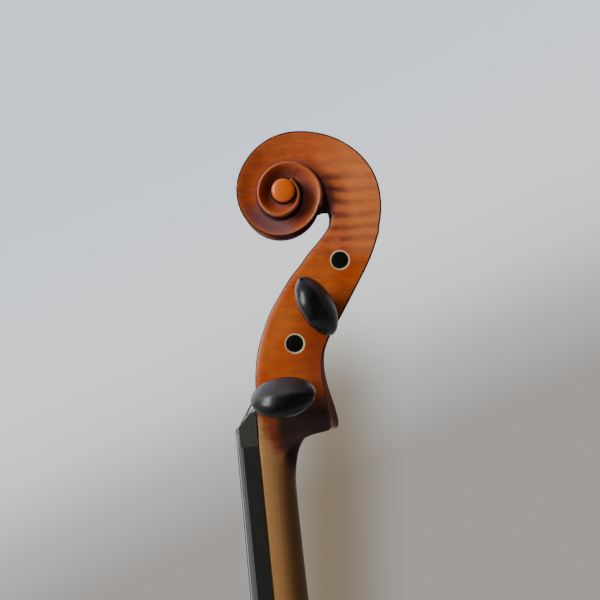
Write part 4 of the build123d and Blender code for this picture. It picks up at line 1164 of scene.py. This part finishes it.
# ------------------------------------------------------------------ pegs
@dataclass
class Pegs:
    """Four ebony pegs: tapered shaft, turned collar, waist and a flat oval head with crisp arrises."""

    collar_gap: float = 3.0
    head_half: float = 20.3
    head_tall: float = 31.0
    head_bulge: float = 10.4
    waist: float = 6.5
    around: int = 72
    stouter: dict[str, float] = field(default_factory=lambda: {"a": 1.0})
    leans: dict[str, float] = field(default_factory=lambda: {"a": 0.26, "d": 0.15, "g": 0.12, "c": 0.12})

    @staticmethod
    def wall_half(u: float) -> float:
        """Half width of the pegbox at a peg's height."""
        table = [(6, 29.0), (17, 29.0), (36, 25.0), (53, 24.1), (67, 23.2), (87, 21.7), (107, 19.8), (124, 18.0)]
        return smooth(table, u)

    @staticmethod
    def shaft_radius(name: str, inward: float) -> float:
        """Shaft radius at a distance in from the outside of the wall next to the head."""
        return 6.7 - 1.2 * inward / (2 * Pegs.wall_half(PEG_PLACES[name][1]))

    def turned(self, name: str) -> list[Pair]:
        """The turned profile (radius, height) from the thin end to the waist under the head."""
        half = self.wall_half(PEG_PLACES[name][1])
        length = 2 * half
        end = self.shaft_radius(name, length)
        gap = self.collar_gap
        return [(0.05, -length - 0.1), (end * 0.55, -length - 0.05), (end - 0.5, -length + 0.15),
                (end, -length + 0.7), (self.shaft_radius(name, half), -half), (self.shaft_radius(name, 0.0), 0.0),
                (self.shaft_radius(name, -gap), gap - 0.3), (7.6, gap), (8.9, gap + 0.35), (9.2, gap + 1.1),
                (8.9, gap + 1.9), (8.1, gap + 2.25), (8.6, gap + 2.6), (8.9, gap + 3.3), (8.5, gap + 4.1),
                (7.6, gap + 4.6), (6.9, gap + 5.2), (6.0, gap + 6.4), (5.3, gap + 8.2), (5.0, gap + 10.0)]

    def build(self) -> None:
        """Builds and places the four pegs."""
        for name in PEG_PLACES:
            draft = Draft()
            self.lay_shaft(draft, name)
            self.lay_head(draft, name)
            settle(draft.build(f"ebony_peg_{name}", LAYOUT.neck_matrix(), 24.0), Finish.PEGS, f"peg_{name}", "ebony",
                   f"peg_{name}")

    def spot(self, name: str, long: float, thick: float, height: float) -> Point:
        """A point of a peg in the neck frame, from its own directions."""
        side, u, v, turn = PEG_PLACES[name]
        c, s = math.cos(math.radians(turn)), math.sin(math.radians(turn))
        return (side * (self.wall_half(u) + height), v + long * c - thick * s, u + long * s + thick * c)

    def lay_shaft(self, draft: Draft, name: str) -> None:
        """Lays the turned part."""
        rings = []
        for radius, height in self.turned(name):
            rings.append([self.spot(name, radius * math.cos(t), radius * math.sin(t), height) for t in round_turn(48)])
        draft.loft("shaft", rings)

    def lay_head(self, draft: Draft, name: str) -> None:
        """Lays the head: two bulging broad faces, and an almond-shaped cap over its end with a crisp arris."""
        middle = self.collar_gap + self.waist + self.head_tall / 2
        around = self.around
        shares = (1.0, 0.975, 0.92, 0.84, 0.72, 0.56, 0.36, 0.16)
        bulge = self.head_bulge + self.stouter.get(name, 0.0)
        fullness = [(-1.0, 0.5), (-0.6, 0.8), (0.0, 1.0), (0.5, 1.0), (1.0, 0.92)]
        rings: dict[int, list[list[Point]]] = {1: [], -1: []}
        for face in (1, -1):
            # the painted reflection is strong on the face +1 and faint on the other
            dull = 1.0 if face == 1 else 0.1
            keys = [[("head", face, i, j % around) for j in range(around + 1)] for i in range(len(shares))]
            for i, share in enumerate(shares):
                ring = []
                for k in range(around):
                    turn = 2 * math.pi * k / around
                    long, height = self.outline(turn)
                    rim = self.rim(math.sin(turn))
                    full = bulge * smooth(fullness, share * math.sin(turn))
                    thick = rim + max(0.0, full - rim) * (1 - share**2) ** 0.6
                    rise = height * share
                    point = self.spot(name, long * share, face * thick - self.leans[name] * rise, middle + rise)
                    draft.put(keys[i][k], point, satin=(1.0 if i else 0.5) * dull)
                    ring.append(point)
                rings[face].append(ring)
            draft.sheet(keys)
            draft.put(("head", face, "middle"), middle_of(rings[face][-1]), satin=dull)
            draft.fan(keys[-1][:-1], ("head", face, "middle"))
        self.lay_cap(draft, rings, around)

    @staticmethod
    def rim(lift: float) -> float:
        """Half thickness where cap and broad face meet, from the peg's waist (-1) to the top of its head (1)."""
        return smooth([(-1.0, 4.4), (-0.8, 3.2), (-0.3, 0.9), (0.0, 0.6), (0.25, 0.8), (0.5, 1.9), (0.8, 4.3),
                       (0.95, 5.8), (1.0, 6.1)], lift)

    @staticmethod
    def lay_cap(draft: Draft, rings: dict[int, list[list[Point]]], around: int) -> None:
        """Lays the rounded cap between the broad faces."""
        middle = np.mean(np.array(rings[1][0] + rings[-1][0]), axis=0)
        rows = [[("head", 1, 0, j % around) for j in range(around + 1)]]
        for i, t in enumerate((0.1, 0.22, 0.36, 0.5, 0.64, 0.78, 0.9)):
            for j in range(around):
                a, b = np.array(rings[1][0][j]), np.array(rings[-1][0][j])
                out = (a + b) / 2 - middle
                out = out / max(1e-6, float(np.linalg.norm(out)))
                swell = 0.14 * float(np.linalg.norm(a - b)) * (1 - (2 * t - 1) ** 2)
                draft.put(("rim", i, j), tuple(float(c) for c in a * (1 - t) + b * t + out * swell))
            rows.append([("rim", i, j % around) for j in range(around + 1)])
        rows.append([("head", -1, 0, j % around) for j in range(around + 1)])
        draft.sheet(rows)

    def outline(self, turn: float) -> Pair:
        """Outline of the head's broad face about its middle: (along the long axis, along the peg's axis)."""
        c, s = math.cos(turn), math.sin(turn)
        tall = self.head_tall / 2
        # wider above the middle, drawn in to the neck of the peg below
        wide = self.head_half * smooth([(-1.0, 0.34), (-0.75, 0.62), (-0.3, 0.94), (0.1, 1.0), (0.6, 0.99), (1.0, 0.9)],
                                       s)
        return (wide * math.copysign(abs(c) ** 0.86, c), tall * math.copysign(abs(s) ** 0.92, s))


# ------------------------------------------------------------------ parts kept from the frame
@dataclass
class Fittings:
    """The pieces whose CAD shape is right: they get their finishes and softened arrises."""

    finishes: dict[str, Finish] = field(default_factory=lambda: {
        "belly": Finish.BELLY, "back": Finish.BACK, "bridge": Finish.MAPLE, "fingerboard": Finish.BOARD,
        "nut": Finish.NUT, "saddle": Finish.FITTINGS, "tailpiece": Finish.FITTINGS, "tail_gut": Finish.CORD,
        "bass_bar": Finish.SPRUCE, "sound_post": Finish.SPRUCE, "upper_block": Finish.WILLOW,
        "lower_block": Finish.WILLOW, "corner_blocks": Finish.WILLOW, "belly_linings": Finish.WILLOW,
        "back_linings": Finish.WILLOW, "belly_purfling": Finish.PURFLING, "back_purfling": Finish.PURFLING,
        "endpin_plug": Finish.FITTINGS, "endpin_ferrule": Finish.CHROME, "endpin_screw": Finish.CHROME,
        "endpin_rod": Finish.STEEL, "endpin_point": Finish.STEEL, "tuner_pivot_pin": Finish.STEEL})
    by_family: dict[str, Finish] = field(default_factory=lambda: {
        "upper_rib": Finish.RIBS, "middle_rib": Finish.RIBS, "lower_rib": Finish.RIBS, "string": Finish.STRING,
        "winding": Finish.STRING, "tuner_lever": Finish.LACQUER, "tuner_screw": Finish.CHROME,
        "ball_end": Finish.BRASS})
    softened: dict[str, float] = field(default_factory=lambda: {
        "belly": 1.2, "back": 1.2, "bridge": 0.5, "fingerboard": 0.5, "nut": 0.4, "saddle": 0.4, "tailpiece": 0.9,
        "endpin_plug": 0.8, "endpin_ferrule": 0.5, "endpin_screw": 0.6, "tuner_screw": 0.4, "tuner_lever": 0.25})

    def build(self) -> None:
        """Dresses every CAD node that is still shown."""
        for name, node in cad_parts.items():
            family = name.rsplit("_", 1)[0]
            finish = self.finishes.get(name) or self.by_family.get(family)
            if finish is None:
                continue
            dress(node, finish)
            width = self.softened.get(name) or self.softened.get(family)
            if width:
                self.soften(node, width)
            LOG.info("%s: dressed", name)

    @staticmethod
    def soften(node: bpy.types.Object, width: float) -> None:
        """Rounds a node's arrises by a bevel modifier."""
        bevel = node.modifiers.new("softened", "BEVEL")
        bevel.width, bevel.segments = width * MM, 2
        bevel.limit_method, bevel.angle_limit = "ANGLE", math.radians(40)
        bevel.harden_normals = True


# ------------------------------------------------------------------ studio
@dataclass
class Studio:
    """Pale floor, soft light and the camera beside the head."""

    lens: float = 55.4
    distance: float = 620.0
    aim: Pair = (36.3, 92.55)
    tilt: float = 15.0
    wall_strength: float = 1.6

    def build(self) -> None:
        """Sets the whole studio."""
        self.floor()
        self.sky()
        self.lights()
        self.camera()

    def floor(self) -> None:
        """A plain round floor."""
        draft = Draft()
        for k in range(64):
            turn = 2 * math.pi * k / 64
            draft.put(k, (1500 * math.cos(turn), 1500 * math.sin(turn), -1.0))
        draft.face(*range(64))
        thing = draft.build("studio_floor")
        g = Graph("studio_floor")
        tone = g.blend(g.noise(g.stretched(3, 3, 3), 2.0), srgb(206, 206, 205), srgb(196, 196, 196))
        thing.data.materials.append(g.finish(tone, 0.7))

    def sky(self) -> None:
        """A wall behind the head, bluish above to the left and warm below to the right, in a dim room."""
        g = Sky()
        aside = g.along((0.0, 0.966, -0.2587))
        above = g.along((0.0, 0.2587, 0.966))
        wall = g.ramp((aside * 0.45 - above) * 2.4 + 0.5, (0.0, srgb(202, 212, 228)), (0.42, srgb(215, 216, 218)),
                      (0.62, srgb(205, 205, 204)), (0.80, srgb(166, 166, 165)), (1.0, srgb(138, 134, 131)))
        shadow = (1 - (aside - 0.035).math("ABSOLUTE").above(0.0, 0.085)) * above.above(0.02, -0.11)
        wall = g.blend(shadow * 0.75, wall, srgb(100, 84, 56))
        room = g.ramp(g.along((-0.25, -0.62, 0.50)).above(-0.8, 0.8), (0.0, srgb(100, 98, 96)),
                      (0.25, srgb(58, 56, 54)), (0.5, srgb(84, 83, 82)), (1.0, srgb(196, 201, 208)))
        g.show(g.blend(g.along((-1.0, 0.0, 0.0)).above(0.60, 0.90), room, wall), self.wall_strength)

    def lights(self) -> None:
        """A large window to the upper left of the head, and a weak fill from the other side."""
        head = LAYOUT.neck_matrix() @ Vector((0, 0.03, 0.09))
        plan = (("window", (0.78, -0.92, 0.62), 0.55, 0.9, 19.5, (1.0, 0.985, 0.96)),
                ("behind", (-1.3, -1.2, 0.9), 1.2, 1.2, 5.0, (0.96, 0.98, 1.0)))
        for name, away, wide, tall, power, colour in plan:
            light = bpy.data.lights.new(name, "AREA")
            light.shape, light.size, light.size_y, light.energy, light.color = "RECTANGLE", wide, tall, power, colour
            lamp = bpy.data.objects.new(name, light)
            bpy.context.scene.collection.objects.link(lamp)
            place = head + Vector(away)
            lamp.matrix_world = Matrix.Translation(place) @ (head - place).to_track_quat("-Z", "Y").to_matrix().to_4x4()

    def camera(self) -> None:
        """The camera at the treble side of the head."""
        data = bpy.data.cameras.new("view")
        data.lens, data.sensor_width, data.clip_start = self.lens, 36.0, 0.01
        camera = bpy.data.objects.new("view", data)
        bpy.context.scene.collection.objects.link(camera)
        v, u = self.aim
        place = LAYOUT.neck_matrix() @ Vector((self.distance * MM, v * MM, u * MM))
        c, s = math.cos(math.radians(self.tilt)), math.sin(math.radians(self.tilt))
        camera.matrix_world = Matrix(((0, 0, 1, place.x), (c, s, 0, place.y), (-s, c, 0, place.z), (0, 0, 0, 1)))
        bpy.context.scene.camera = camera


def main() -> None:
    """Builds every sub-assembly and reports its pieces."""
    logging.basicConfig(level=logging.INFO, format="%(name)s %(message)s")
    Studio().build()
    settle(Head().build(), Finish.SCROLL, "body", "maple", "neck_and_scroll")
    Pegs().build()
    Fittings().build()


if __name__ == "__main__":
    main()
